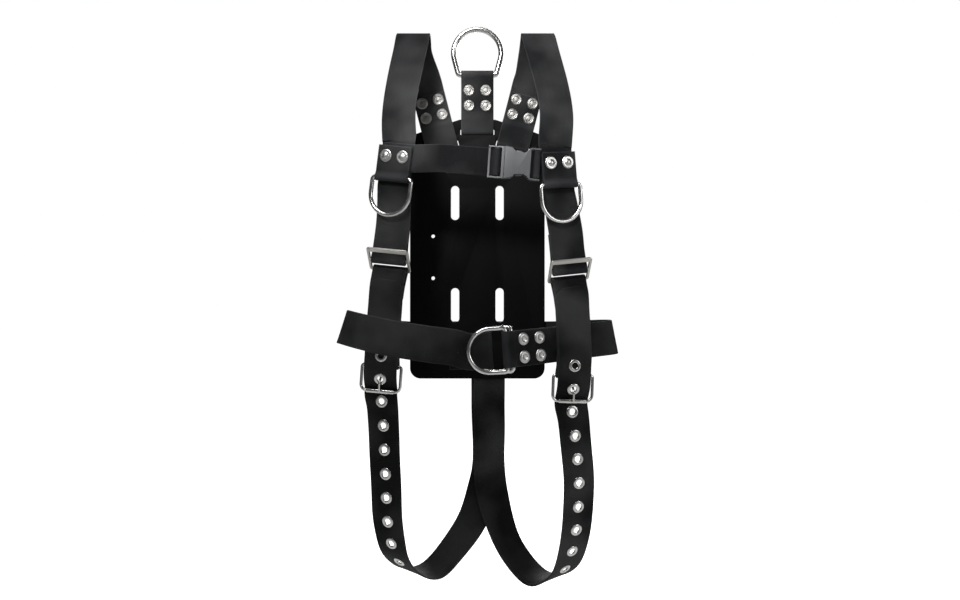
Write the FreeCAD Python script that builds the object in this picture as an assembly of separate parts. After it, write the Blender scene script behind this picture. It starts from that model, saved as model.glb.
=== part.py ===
"""Working diver's webbing harness on a rigid backplate, hung by its lift ring.

Millimetres.  +Z is up, -Y is the front (the wearer's chest side), +Y is the wearer's back.
The origin is the seat inside the top of the lift ring, where a hook carries the harness.
"left" is the -X side and "right" is the +X side, seen from the front.
"""
import FreeCAD, Part
import math
import os
from types import SimpleNamespace

Vector = FreeCAD.Vector
Rotation = FreeCAD.Rotation
Placement = FreeCAD.Placement
X_AXIS = Vector(1, 0, 0)
Y_AXIS = Vector(0, 1, 0)
Z_AXIS = Vector(0, 0, 1)

# ---- webbing -----------------------------------------------------------------------------
STRAP_WIDTH = 49.0
LEG_STRAP_WIDTH = 47.0
CHEST_STRAP_WIDTH = 38.0
WEBBING = 2.4                 # thickness of one layer
LAYER = 3.0                   # between the middle planes of two stacked layers
HALF_WEBBING = WEBBING / 2
WRAP_GAP = 0.35               # air between a bar and the webbing folded round it
CURVE_STEPS = 5               # straight facets between two hand-placed points of a strap

# ---- backplate ---------------------------------------------------------------------------
PLATE_HALF_WIDTH = 102.0
PLATE_BOTTOM = -525.0
PLATE_TOP = -133.0
PLATE_CREST_HALF_WIDTH = 27.0
PLATE_SHOULDER_X = 86.0
PLATE_SHOULDER_Z = -152.0
PLATE_THICKNESS = 5.0
PLATE_CORNER = 16.0
PLATE_EDGE = 1.0
CAM_SLOT_X = 33.7
CAM_SLOT_UPPER_Z = -259.0
CAM_SLOT_PITCH = 155.0
CAM_SLOT_LENGTH = 52.0
CAM_SLOT_WIDTH = 12.5
SMALL_HOLE_X = -67.0
SMALL_HOLE_UPPER_Z = -309.5
SMALL_HOLE_PITCH = 63.5
SMALL_HOLE_RADIUS = 2.75
STRAP_SLOT_LENGTH = 51.5
STRAP_SLOT_WIDTH = 9.0
STRAP_SLOT_CORNER = 1.5
PLATE_LAYER = 4.2             # middle plane of a layer that lies on the plate, from y = 0

# ---- wire hardware -----------------------------------------------------------------------
LIFT_WIRE = 4.0               # wire radius
LIFT_RING_RADIUS = 36.0
LIFT_RING_DEPTH = 69.0        # bar to crown, wire centre to wire centre
LIFT_RING_LEAN = 15.0
LIFT_BAR_Z = LIFT_WIRE - LIFT_RING_DEPTH
RING_WIRE = 3.0
RING_RADIUS = 29.5
RING_DEPTH = 51.0
RING_CORNER = 5.0
BUCKLE_WIRE = 2.1
BUCKLE_HALF_WIDTH = 28.0
BUCKLE_HEIGHT = 36.0
BUCKLE_CORNER = 4.0
BUCKLE_LOW_CORNER = 8.0
ROLLER_RADIUS = 3.2
ROLLER_CLEARANCE = 0.05
ROLLER_HALF_LENGTH = 19.5
PRONG_RADIUS = 1.5

# ---- slider ------------------------------------------------------------------------------
SLIDER_WIDTH = 60.0
SLIDER_HEIGHT = 40.0
SLIDER_THICKNESS = 3.2
SLIDER_SIDE_BAR = 4.0
SLIDER_TOP_BAR = 7.0
SLIDER_BAR = 4.5
SLIDER_PITCH = 42.0
SLIDER_SLACK = 1.2            # the webbing stands a little off the slider's bars
SLIDER_WRAP = math.hypot(SLIDER_BAR, SLIDER_THICKNESS) / 2 + SLIDER_SLACK + HALF_WEBBING

# ---- rivets and grommets -----------------------------------------------------------------
HEAD_RADIUS = 8.75
SHANK_RADIUS = 3.0
SHANK_CLEARANCE = 0.1
GROMMET_HOLE = 4.25
GROMMET_BARREL = 5.4
GROMMET_FLANGE = 0.9
GROMMET_SEAT = 0.45           # how far the flange presses into the webbing
GROMMET_PITCH = 34.0
GROMMETS_BELOW_BUCKLE = 8
LIFT_RIVET_Z = -100.5
LIFT_RIVETS = (12.8, 11.5)    # half spacings of a block of four, across and along the strap
SHOULDER_RIVETS = (12.6, 11.6)
BELT_LOOP_RIVETS = (13.5, 12.2)
TAB_RIVET_SPOTS = [(-12.6, 0), (12.6, 0)]

# ---- chest buckle ------------------------------------------------------------------------
CHEST_BUCKLE = SimpleNamespace(x=51.0, y=-138.4, z=-220.0, slope=4.0)
BUCKLE_BODY_HEIGHT = 43.5
BUCKLE_BODY_THICKNESS = 13.0
HOUSING_MOUTH = -14.0
HOUSING_END = 35.0
END_WINDOW_X = 21.5
END_BAR_X = 30.0
LADDER_END = -36.4
LADDER_BASE_X = -18.0
LADDER_END_BAR_X = -34.8
LADDER_END_BAR_RADIUS = 1.6
LADDER_BAR_X = -24.5
BUCKLE_BAR_RADIUS = 1.9
BUCKLE_RAIL = 1.95

# ---- where the two sides hang; each side's straps are adjusted to a different length -------
LEFT = SimpleNamespace(
    name="left", sign=-1,
    crest_x=94.5, front_x=(98.0, 105.5, 110.0),
    tab=(-110.2, -123.0, -209.4), tab_lean=8.0,
    slider=(-122.0, -119.0, -351.0),
    buckle=(-131.5, -121.0, -496.0), buckle_lean=4.0,
    tail_tip=-376.0)
RIGHT = SimpleNamespace(
    name="right", sign=1,
    crest_x=88.5, front_x=(94.5, 105.0, 111.0),
    tab=(109.2, -123.0, -217.9), tab_lean=5.0,
    slider=(128.0, -119.0, -365.0),
    buckle=(132.5, -121.0, -509.6), buckle_lean=-2.0,
    tail_tip=-386.0)
SIDES = (LEFT, RIGHT)
SHOULDER_ANCHOR = Vector(68.3, 0, -117.0)     # middle of the shoulder rivets, right side
SHOULDER_LEAN = 14.5
TAB_YAW = 20.0
SLIDER_YAW = 12.0
SLIDER_LEAN = 6.0
LEG_BUCKLE_YAW = 10.0
TAB_BAR = Vector(0, -7.5, -29.5)          # ring bar in the tab's own frame
TAB_BACK_LAYER = -6.0
TAB_FRONT_LAYER = -9.0
TAB_TOP = 14.5
TAB_STRAIGHT_END = -24.0                  # from here the tab's layers spread round the ring's bar
LOWER_LAYER = -(BUCKLE_WIRE + WRAP_GAP + HALF_WEBBING)   # strap in front of the pivot bar

# ---- waist -------------------------------------------------------------------------------
BELT_Z = -463.0
BELT_Y = 7.4
BELT_RIVET_SPOTS = [(x, BELT_Z - 3) for x in (-86, -62, 62, 86)]
WAIST_BARS = Vector(39.5, -158.0, -472.4)
WAIST_RING_LEAN = -4.0
WAIST_BAR_PITCH = 9.0                     # the two ring bars lie side by side in the loop
REAR_RING_SWING = 14.0
FRONT_RING_SWING = -3.5
BELT_TO_BARS_YAW = 32.0                  # from the rings' plane to the right belt's end
DOUBLED_MIDDLE = 40.5                     # front bar to the middle of the riveted part

parts = {}


# ==== general helpers ========================================================================
def placed(x, y, z, yaw=0.0, lean=0.0):
    """An upright working frame: turned about Z by yaw, after leaning about Y."""
    turn = Rotation(Z_AXIS, yaw).multiply(Rotation(Y_AXIS, lean))
    return Placement(Vector(x, y, z), turn)


def moved(shape, frame):
    shape = shape.copy()
    shape.Placement = frame.multiply(shape.Placement)
    return shape


def polygon_face(*corners):
    return Part.Face(Part.makePolygon(list(corners) + [corners[0]]))


def quad(a, b, c, d):
    """One flat face, or two triangles where the four corners are not in one plane."""
    normal = (b - a).cross(c - a)
    normal.normalize()
    if abs(normal.dot(d - a)) < 1e-8:
        return [polygon_face(a, b, c, d)]
    return [polygon_face(a, b, c), polygon_face(a, c, d)]


def tangents(path):
    last = len(path) - 1
    result = []
    for i in range(len(path)):
        step = path[min(i + 1, last)][0] - path[max(i - 1, 0)][0]
        step.normalize()
        result.append(step)
    return result


def normals(path):
    """Unit vectors out of the strap's face: tangent x across."""
    result = []
    for (centre, across), along in zip(path, tangents(path)):
        normal = along.cross(across)
        normal.normalize()
        result.append(normal)
    return result


def ribbon(path, width, thickness=WEBBING):
    """A strap of even section along path, a list of (centre, direction across the strap)."""
    sections = []
    for (centre, across), along, normal in zip(path, tangents(path), normals(path)):
        side = normal.cross(along)
        side.normalize()
        half_across = side * (width / 2)
        half_through = normal * (thickness / 2)
        sections.append([centre - half_across - half_through, centre + half_across - half_through,
                         centre + half_across + half_through, centre - half_across + half_through])
    faces = quad(*sections[0]) + quad(*sections[-1])
    for low, high in zip(sections, sections[1:]):
        for k in range(4):
            after = (k + 1) % 4
            faces += quad(low[k], low[after], high[after], high[k])
    solid = Part.Solid(Part.Shell(faces))
    if solid.Volume < 0:
        solid.reverse()
    return solid


def spline_value(a, b, c, d, t):
    """Catmull-Rom value between b and c."""
    return (b * 2 + (c - a) * t + (a * 2 - b * 5 + c * 4 - d) * (t * t)
            + (b * 3 - a - c * 3 + d) * (t * t * t)) * 0.5


def smooth(path, steps=CURVE_STEPS):
    """The same path with a smooth curve through its points."""
    last = len(path) - 1
    result = []
    for i in range(last):
        four = [path[max(i - 1, 0)], path[i], path[i + 1], path[min(i + 2, last)]]
        for k in range(steps):
            t = k / steps
            centre = spline_value(*[p[0] for p in four], t)
            across = spline_value(*[p[1] for p in four], t)
            across.normalize()
            result.append((centre, across))
    result.append(path[last])
    return result


def stations(frame, points, across=X_AXIS):
    """Points (y, z) or (x, y, z) in a working frame, as strap stations."""
    result = []
    for p in points:
        local = Vector(0, *p) if len(p) == 2 else Vector(*p)
        result.append((frame.multVec(local), frame.Rotation.multVec(across)))
    return result


def arc(centre_y, centre_z, radius, first, last, steps=8):
    """Points (y, z) round a bar; angles in degrees from +Y towards +Z."""
    points = []
    for k in range(steps + 1):
        angle = math.radians(first + (last - first) * k / steps)
        points.append((centre_y + radius * math.cos(angle), centre_z + radius * math.sin(angle)))
    return points


def shifted(path, distance):
    """The path moved along the strap's own normal."""
    return [(centre + normal * distance, across)
            for (centre, across), normal in zip(path, normals(path))]


def cylinder(radius, start, end):
    along = end - start
    return Part.makeCylinder(radius, along.Length, start, along)


def box(low, high):
    size = Vector(*high) - Vector(*low)
    return Part.makeBox(size.x, size.y, size.z, Vector(*low))


def turned(outline):
    """A turned part from its outline (radius, y), about the local Y axis."""
    corners = [Vector(r, y, 0) for r, y in outline]
    return polygon_face(*corners).revolve(Vector(0, 0, 0), Y_AXIS, 360)


def swept_wire(edges, radius, start, direction):
    """Round wire of the given radius along a closed, tangent run of edges."""
    profile = Part.Wire(Part.makeCircle(radius, start, direction))
    return Part.Wire(edges).makePipeShell([profile], True, False)


# ==== hardware shapes ========================================================================
def d_ring(radius, depth, wire, lean, corner):
    """D-ring: bar along X through the origin, crown down -Z, in the XZ plane."""
    centre_z = -(depth - radius)
    turn = math.radians(lean)
    end = Vector(radius * math.cos(turn), 0, centre_z + radius * math.sin(turn))
    leg = Vector(-math.sin(turn), 0, math.cos(turn))
    foot = end + leg * (-end.z / leg.z)
    setback = corner * math.tan(math.radians(90 - lean) / 2)
    leg_end = foot - leg * setback
    bar_end = foot - X_AXIS * setback
    corner_centre = Vector(bar_end.x, 0, -corner)
    outward = leg_end - corner_centre + bar_end - corner_centre
    corner_mid = corner_centre + outward * (corner / outward.Length)

    def mirrored(p):
        return Vector(-p.x, 0, p.z)

    crown = Vector(0, 0, -depth)
    edges = [
        Part.makeLine(mirrored(bar_end), bar_end),
        Part.Arc(bar_end, corner_mid, leg_end).toShape(),
        Part.makeLine(leg_end, end),
        Part.Arc(end, crown, mirrored(end)).toShape(),
        Part.makeLine(mirrored(end), mirrored(leg_end)),
        Part.Arc(mirrored(leg_end), mirrored(corner_mid), mirrored(bar_end)).toShape(),
    ]
    return swept_wire(edges, wire, mirrored(bar_end), X_AXIS)


def buckle_frame():
    """Rounded rectangle of wire, pivot bar along X through the origin, hanging down -Z."""
    half = BUCKLE_HALF_WIDTH
    r = BUCKLE_CORNER
    low = -BUCKLE_HEIGHT
    bend = r * math.sqrt(0.5)
    wide = BUCKLE_LOW_CORNER
    wide_bend = wide * math.sqrt(0.5)
    edges = [
        Part.makeLine(Vector(-half + r, 0, 0), Vector(half - r, 0, 0)),
        Part.Arc(Vector(half - r, 0, 0), Vector(half - r + bend, 0, -r + bend),
                 Vector(half, 0, -r)).toShape(),
        Part.makeLine(Vector(half, 0, -r), Vector(half, 0, low + wide)),
        Part.Arc(Vector(half, 0, low + wide), Vector(half - wide + wide_bend, 0, low + wide - wide_bend),
                 Vector(half - wide, 0, low)).toShape(),
        Part.makeLine(Vector(half - wide, 0, low), Vector(-half + wide, 0, low)),
        Part.Arc(Vector(-half + wide, 0, low), Vector(-half + wide - wide_bend, 0, low + wide - wide_bend),
                 Vector(-half, 0, low + wide)).toShape(),
        Part.makeLine(Vector(-half, 0, low + wide), Vector(-half, 0, -r)),
        Part.Arc(Vector(-half, 0, -r), Vector(-half + r - bend, 0, -r + bend),
                 Vector(-half + r, 0, 0)).toShape(),
    ]
    return swept_wire(edges, BUCKLE_WIRE, Vector(-half + r, 0, 0), X_AXIS)


def buckle_roller():
    """Tube that turns on the frame's lower bar."""
    start = Vector(-ROLLER_HALF_LENGTH, 0, -BUCKLE_HEIGHT)
    end = Vector(ROLLER_HALF_LENGTH, 0, -BUCKLE_HEIGHT)
    bore = cylinder(BUCKLE_WIRE + ROLLER_CLEARANCE, start - X_AXIS, end + X_AXIS)
    return cylinder(ROLLER_RADIUS, start, end).cut(bore)


def buckle_prong():
    """Eye round the pivot bar, with a bent prong that passes the grommet and rests on the roller."""
    eye_half = 2.2
    eye_radius = BUCKLE_WIRE + 1.7
    eye = cylinder(eye_radius, Vector(-eye_half, 0, 0), Vector(eye_half, 0, 0))
    rest_y = -(ROLLER_RADIUS + 0.35 + PRONG_RADIUS)
    bends = [Vector(0, 0.3, -2.6), Vector(0, 0.9, -15.5), Vector(0, -7.2, -23.0),
             Vector(0, rest_y, -BUCKLE_HEIGHT - 2.5)]
    prong = eye
    for start, end in zip(bends, bends[1:]):
        prong = prong.fuse(cylinder(PRONG_RADIUS, start, end))
        prong = prong.fuse(Part.makeSphere(PRONG_RADIUS, end))
    bore = cylinder(BUCKLE_WIRE + ROLLER_CLEARANCE, Vector(-9, 0, 0), Vector(9, 0, 0))
    return prong.cut(bore).removeSplitter()


def slider():
    """Three-bar slider in its own plane, before it is pitched."""
    half_w = SLIDER_WIDTH / 2
    half_h = SLIDER_HEIGHT / 2
    half_t = SLIDER_THICKNESS / 2
    inner = half_w - SLIDER_SIDE_BAR
    body = box((-half_w, -half_t, -half_h), (half_w, half_t, half_h))
    corners = [e for e in body.Edges if abs(e.tangentAt(e.FirstParameter).y) > 0.9]
    body = body.makeFillet(4.0, corners)
    windows = ((SLIDER_BAR / 2, half_h - SLIDER_TOP_BAR), (-half_h + SLIDER_BAR, -SLIDER_BAR / 2))
    for low, high in windows:
        body = body.cut(box((-inner, -half_t - 1, low), (inner, half_t + 1, high)))
    rim = [e for e in body.Edges if abs(abs(e.CenterOfMass.y) - half_t) < 1e-6]
    return body.makeChamfer(0.8, rim)


def rivet(front, back, head):
    """One rivet along Y; front and back are the outer faces of the layers that it holds."""
    heads = {
        "domed": [(0, -3.0), (2.4, -2.8), (4.1, -2.1), (5.0, -1.1), (8.1, -1.0)],
        "ringed": [(0, -1.5), (2.8, -1.5), (3.4, -0.8), (4.6, -0.8), (5.3, -1.7), (7.9, -1.2)],
        "dimpled": [(0, -0.7), (3.0, -0.7), (3.9, -1.8), (6.2, -1.9), (8.1, -1.2)],
    }
    outline = [(r, front + y) for r, y in heads[head]]
    outline += [(HEAD_RADIUS, front - 0.5), (HEAD_RADIUS, front), (SHANK_RADIUS, front)]
    outline += [(SHANK_RADIUS, back), (HEAD_RADIUS, back), (HEAD_RADIUS, back + 0.5)]
    outline += [(8.1, back + 1.0), (4.5, back + 1.2), (3.5, back + 0.7), (0, back + 0.7)]
    return turned(outline)


def grommet():
    """Rolled eyelet along Y, its two flanges pressed a little into the webbing."""
    seat = HALF_WEBBING - GROMMET_SEAT
    face = seat + GROMMET_FLANGE
    outline = [(GROMMET_HOLE, -face + 0.5), (GROMMET_HOLE + 0.6, -face), (6.8, -face - 0.1),
               (8.3, -face + 0.2), (HEAD_RADIUS, -seat), (GROMMET_BARREL, -seat),
               (GROMMET_BARREL, seat), (HEAD_RADIUS, seat), (8.3, face - 0.2), (6.8, face),
               (GROMMET_HOLE + 0.6, face), (GROMMET_HOLE, face - 0.5)]
    return turned(outline)


def grommet_room():
    """The space that one grommet takes out of the strap."""
    seat = HALF_WEBBING - GROMMET_SEAT
    room = cylinder(GROMMET_BARREL + 0.1, Vector(0, -9, 0), Vector(0, 9, 0))
    for side in (-1, 1):
        room = room.fuse(cylinder(HEAD_RADIUS + 0.25, Y_AXIS * (side * seat), Y_AXIS * (side * 5)))
    return room


def drilled(strap, frame, spots, radius=SHANK_RADIUS + SHANK_CLEARANCE):
    """The strap with a hole at each spot (x, z) of the frame."""
    for x, z in spots:
        hole = cylinder(radius, Vector(x, -30, z), Vector(x, 30, z))
        strap = strap.cut(moved(hole, frame))
    return strap


def rivets(frame, spots, front, back, head):
    return [moved(rivet(front, back, head), frame.multiply(placed(x, 0, z))) for x, z in spots]


def grid(half_x, half_z):
    return [(x, z) for z in (half_z, -half_z) for x in (-half_x, half_x)]


# ==== plate and lift strap ===================================================================
def cam_slot(x, z):
    """Upright round-ended slot cutter through the plate."""
    end = CAM_SLOT_WIDTH / 2
    half = CAM_SLOT_LENGTH / 2 - end
    body = box((-end, -9, -half), (end, 9, half))
    for height in (-half, half):
        body = body.fuse(cylinder(end, Vector(0, -9, height), Vector(0, 9, height)))
    return moved(body, placed(x, 0, z))


def strap_slot(frame, height):
    """Cutter for a strap's slot, at a height in the strap's own frame."""
    half = STRAP_SLOT_LENGTH / 2
    low = height - STRAP_SLOT_WIDTH / 2
    body = box((-half, -9, low), (half, 9, low + STRAP_SLOT_WIDTH))
    corners = [e for e in body.Edges if abs(e.tangentAt(e.FirstParameter).y) > 0.9]
    return moved(body.makeFillet(STRAP_SLOT_CORNER, corners), frame)


def shoulder_frame(side):
    spot = SHOULDER_ANCHOR
    return placed(side.sign * spot.x, spot.y, spot.z, 0, side.sign * SHOULDER_LEAN)


def back_plate():
    half = PLATE_HALF_WIDTH
    edge_z = PLATE_SHOULDER_Z - 6
    right = [(half, PLATE_BOTTOM), (half, edge_z), (PLATE_SHOULDER_X, PLATE_SHOULDER_Z),
             (PLATE_CREST_HALF_WIDTH, PLATE_TOP)]
    left = [(-x, z) for x, z in reversed(right)]
    face = polygon_face(*[Vector(x, -PLATE_THICKNESS / 2, z) for x, z in right + left])
    plate = face.extrude(Y_AXIS * PLATE_THICKNESS)

    def upright_at(x_low, z_test):
        return [e for e in plate.Edges if abs(e.tangentAt(e.FirstParameter).y) > 0.9
                and abs(e.CenterOfMass.x) > x_low and z_test(e.CenterOfMass.z)]

    plate = plate.makeFillet(PLATE_CORNER, upright_at(half - 1, lambda z: z < PLATE_BOTTOM + 1))
    plate = plate.makeFillet(PLATE_CORNER / 2, upright_at(half - 1, lambda z: z > edge_z - 1))
    half_t = PLATE_THICKNESS / 2
    rim = [e for e in plate.Edges if abs(abs(e.CenterOfMass.y) - half_t) < 1e-6]
    plate = plate.makeChamfer(PLATE_EDGE, rim)
    for x in (-CAM_SLOT_X, CAM_SLOT_X):
        for z in (CAM_SLOT_UPPER_Z, CAM_SLOT_UPPER_Z - CAM_SLOT_PITCH):
            plate = plate.cut(cam_slot(x, z))
    plate = plate.cut(strap_slot(Placement(), PLATE_TOP - 18.9))
    for side in SIDES:
        plate = plate.cut(strap_slot(shoulder_frame(side), -59.4))
    for z in (SMALL_HOLE_UPPER_Z, SMALL_HOLE_UPPER_Z - SMALL_HOLE_PITCH):
        plate = plate.cut(cylinder(SMALL_HOLE_RADIUS, Vector(SMALL_HOLE_X, -9, z),
                                   Vector(SMALL_HOLE_X, 9, z)))
    return drilled(plate, Placement(), BELT_RIVET_SPOTS)


def lift_rivet_spots():
    return [(x, z + LIFT_RIVET_Z) for x, z in grid(*LIFT_RIVETS)]


def lift_strap():
    wrap = LIFT_WIRE + WRAP_GAP + HALF_WEBBING
    near = LAYER / 2
    under = PLATE_TOP - 17.5
    points = [(near, LIFT_RIVET_Z + 0.6), (near, -80.2), (near, -78.5)]
    points += arc(0, LIFT_BAR_Z, wrap, -20, 200, 12)
    points += [(-near, -78.5), (-near, -80.2), (-near, -122), (-PLATE_LAYER, PLATE_TOP + 0.5)]
    points += arc(0, under, PLATE_LAYER, 180, 360)
    points += [(PLATE_LAYER, PLATE_TOP + 0.5), (near, -122), (near, LIFT_RIVET_Z - 0.6)]
    strap = ribbon(stations(Placement(), points), STRAP_WIDTH)
    return drilled(strap, Placement(), lift_rivet_spots())


def lift_rivets():
    face = LAYER / 2 + HALF_WEBBING
    return rivets(Placement(), lift_rivet_spots(), -face, face, "ringed")


def lift_ring():
    ring = d_ring(LIFT_RING_RADIUS, LIFT_RING_DEPTH, LIFT_WIRE, LIFT_RING_LEAN, RING_CORNER)
    return moved(ring, Placement(Vector(0, 0, LIFT_BAR_Z), Rotation(X_AXIS, 180)))


# ==== shoulder straps, tabs and chest rings ==================================================
def tab_frame(side):
    return placed(*side.tab, side.sign * TAB_YAW, -side.sign * side.tab_lean)


def slider_frame(side):
    return placed(*side.slider, side.sign * SLIDER_YAW, -side.sign * SLIDER_LEAN)


def leg_buckle_frame(side):
    return placed(*side.buckle, side.sign * LEG_BUCKLE_YAW, -side.sign * side.buckle_lean)


def slider_bar(height):
    """Centre (y, z) of a slider bar, from its height in the slider's own plane."""
    pitch = math.radians(SLIDER_PITCH)
    return -height * math.sin(pitch), height * math.cos(pitch)


def shoulder_strap(side):
    """Short end on the plate's front, through the slot, up the back, over and down to the slider."""
    s = side.sign
    near = LAYER / 2
    anchor = shoulder_frame(side)
    low = [(-near, 22), (-near, -20.4), (-near, -22), (-PLATE_LAYER, -26.6)]
    low += arc(0, -58, PLATE_LAYER, 180, 360)
    low += [(PLATE_LAYER, -26.6), (near, -22), (near, -20.4), (near, 21.5), (near, 24)]
    path = stations(anchor, low)
    over = [(Vector(s * 77.4, -0.4, -81), Vector(1, 0, -0.22 * s)),
            (Vector(s * 82, -5, -66), Vector(1, 0, -0.16 * s)),
            (Vector(s * (side.crest_x - 2.5), -12.5, -39), Vector(1, 0, -0.05 * s)),
            (Vector(s * (side.crest_x - 0.5), -20, -19.5), X_AXIS),
            (Vector(s * side.crest_x, -32, -13), X_AXIS),
            (Vector(s * (side.crest_x + 0.5), -44, -19.5), X_AXIS),
            (Vector(s * side.front_x[0], -53, -43), Vector(1, 0.05 * s, 0.02 * s)),
            (Vector(s * side.front_x[1], -77, -92), Vector(1, 0.15 * s, 0.06 * s)),
            (Vector(s * side.front_x[2], -101, -144), Vector(1, 0.28 * s, 0.09 * s))]
    joined = [path[-1]] + over + stations(tab_frame(side), [(0, 24)])
    path = path[:-1] + smooth(joined)
    path += stations(tab_frame(side), [(0, 22), (0, -38), (0, -40)])
    middle = stations(slider_frame(side), [(2, 62), (1, 30)])
    path = path[:-1] + smooth([path[-1]] + middle)
    turn = [(-1.5, 12)] + arc(0, 0, SLIDER_WRAP, 160, 340, 8)
    turn += [(5.9, 9), (4.4, 26), (4.7, 52)]
    path += stations(slider_frame(side), turn)
    strap = ribbon(path, STRAP_WIDTH)
    strap = drilled(strap, anchor, grid(*SHOULDER_RIVETS))
    return drilled(strap, tab_frame(side), TAB_RIVET_SPOTS)


def shoulder_rivets(side):
    face = LAYER / 2 + HALF_WEBBING
    return rivets(shoulder_frame(side), grid(*SHOULDER_RIVETS), -face, face, "ringed")


def chest_tab(side):
    wrap = RING_WIRE + WRAP_GAP + HALF_WEBBING
    points = [(TAB_BACK_LAYER, TAB_TOP), (TAB_BACK_LAYER, TAB_STRAIGHT_END)]
    points += arc(TAB_BAR.y, TAB_BAR.z, wrap, 35, -215, 10)
    points += [(TAB_FRONT_LAYER, TAB_STRAIGHT_END), (TAB_FRONT_LAYER, TAB_TOP)]
    tab = ribbon(stations(tab_frame(side), points), STRAP_WIDTH + 1)
    return drilled(tab, tab_frame(side), TAB_RIVET_SPOTS)


def tab_rivets(side):
    front = TAB_FRONT_LAYER - HALF_WEBBING
    return rivets(tab_frame(side), TAB_RIVET_SPOTS, front, HALF_WEBBING, "domed")


def chest_ring(side):
    ring = d_ring(RING_RADIUS, RING_DEPTH, RING_WIRE, 0, RING_CORNER)
    return moved(ring, tab_frame(side).multiply(Placement(TAB_BAR, Rotation())))


def tri_bar_slider(side):
    pitched = Placement(Vector(0, 0, 0), Rotation(X_AXIS, SLIDER_PITCH))
    return moved(slider(), slider_frame(side).multiply(pitched))


# ==== lower straps and leg buckles ===========================================================
def lower_strap_run(side):
    """The long visible run, from below the slider to above the pivot bar."""
    start = stations(slider_frame(side), [(4.5, -24), (1.5, -38)])
    end = stations(leg_buckle_frame(side), [(LOWER_LAYER, 30), (LOWER_LAYER, 12),
                                            (LOWER_LAYER, 0)])
    middle = [((start[-1][0] + end[0][0]) * 0.5, (start[-1][1] + end[0][1]) * 0.5)]
    return smooth(start + middle + end)


def lower_strap(side):
    """Folded round the slider's lower bar and round the pivot bar, both short ends behind."""
    y, z = slider_bar(-SLIDER_HEIGHT / 2 + SLIDER_BAR / 2)
    top = [(4.6, -52), (7.5, -36), (12, -24)]
    top += arc(y, z, SLIDER_WRAP, 0, 180, 8)
    bottom = arc(0, 0, -LOWER_LAYER, 195, 360, 8) + [(-LOWER_LAYER, 3), (LOWER_LAYER + LAYER, 13),
                                                     (LOWER_LAYER + LAYER, 26)]
    path = stations(slider_frame(side), top) + lower_strap_run(side)
    path += stations(leg_buckle_frame(side), bottom)
    strap = ribbon(path, STRAP_WIDTH)
    prong_window = box((-4, -7, -7), (4, 7, 7))
    return strap.cut(moved(prong_window, leg_buckle_frame(side)))


LEFT_LOOP = [
    (Vector(-131, -114, -560), Vector(0.95, -0.31, 0)),
    (Vector(-129, -110, -612), Vector(0.94, -0.34, 0)),
    (Vector(-127, -106, -670), Vector(0.94, -0.35, 0)),
    (Vector(-124, -101, -725), Vector(0.92, -0.39, -0.04)),
    (Vector(-115, -89, -770), Vector(0.87, -0.48, -0.12)),
    (Vector(-94, -66, -798), Vector(0.80, -0.58, -0.13)),
    (Vector(-66, -42, -803), Vector(0.71, -0.66, -0.24)),
    (Vector(-36, -28, -776), Vector(0.66, -0.64, -0.39)),
    (Vector(-9, -11, -738), Vector(0.78, -0.42, -0.42)),
    (Vector(8, -2, -692), Vector(0.94, -0.10, -0.30)),
    (Vector(16.5, 2.5, -650), Vector(1, 0, -0.10)),
    (Vector(15, 6.5, -590), X_AXIS)]
LEFT_RISER_Y = 10.6

RIGHT_LOOP = [
    (Vector(134, -116, -574), Vector(0.95, 0.31, 0)),
    (Vector(139, -112, -625), Vector(0.94, 0.34, 0)),
    (Vector(142, -107, -680), Vector(0.94, 0.35, 0)),
    (Vector(138, -99, -737), Vector(0.92, 0.39, 0.04)),
    (Vector(128, -80, -786), Vector(0.87, 0.48, 0.12)),
    (Vector(108, -55, -811), Vector(0.80, 0.58, 0.13)),
    (Vector(82, -36, -812), Vector(0.71, 0.66, 0.24)),
    (Vector(52, -24, -780), Vector(0.66, 0.64, 0.39)),
    (Vector(33, -21, -735), Vector(0.80, 0.45, 0.36)),
    (Vector(22, -16, -692), Vector(0.95, 0.12, 0.22)),
    (Vector(18, -8.5, -650), Vector(1, 0, 0.05)),
    (Vector(18.3, 0.5, -590), X_AXIS)]
RISER_X = 18.3
RISER_OFFSET = 4.0
RISER_TOP = -442.0            # both risers are sewn to the belt, one in front of it and one behind


def buckled_run(side):
    """The leg strap inside the buckle: over the pivot bar, pierced, and behind the roller."""
    over_pivot = LOWER_LAYER - LAYER
    points = [(over_pivot + 0.5, -9), (-3.6, -19), (1.0, -27.5), (4.9, -34), (5.2, -42)]
    return stations(leg_buckle_frame(side), points)


def leg_strap_path(side):
    tail = shifted(lower_strap_run(side), -LAYER * side_normal(side))
    tail = [p for p in tail if p[0].z < side.tail_tip]
    loop = LEFT_LOOP if side is LEFT else RIGHT_LOOP
    x = RISER_X - RISER_OFFSET if side is LEFT else RISER_X
    y = LEFT_RISER_Y if side is LEFT else PLATE_LAYER
    riser = [(Vector(x, y - 0.5, -535), X_AXIS), (Vector(x, y, -505), X_AXIS)]
    top = (Vector(x, y, RISER_TOP), X_AXIS)
    return tail[:-1] + smooth(tail[-1:] + buckled_run(side) + loop + riser) + [top]


def side_normal(side):
    """+1 where the strap's own normal points backwards on the visible run, otherwise -1."""
    run = lower_strap_run(side)
    return 1 if normals(run)[len(run) // 2].y > 0 else -1


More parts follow.
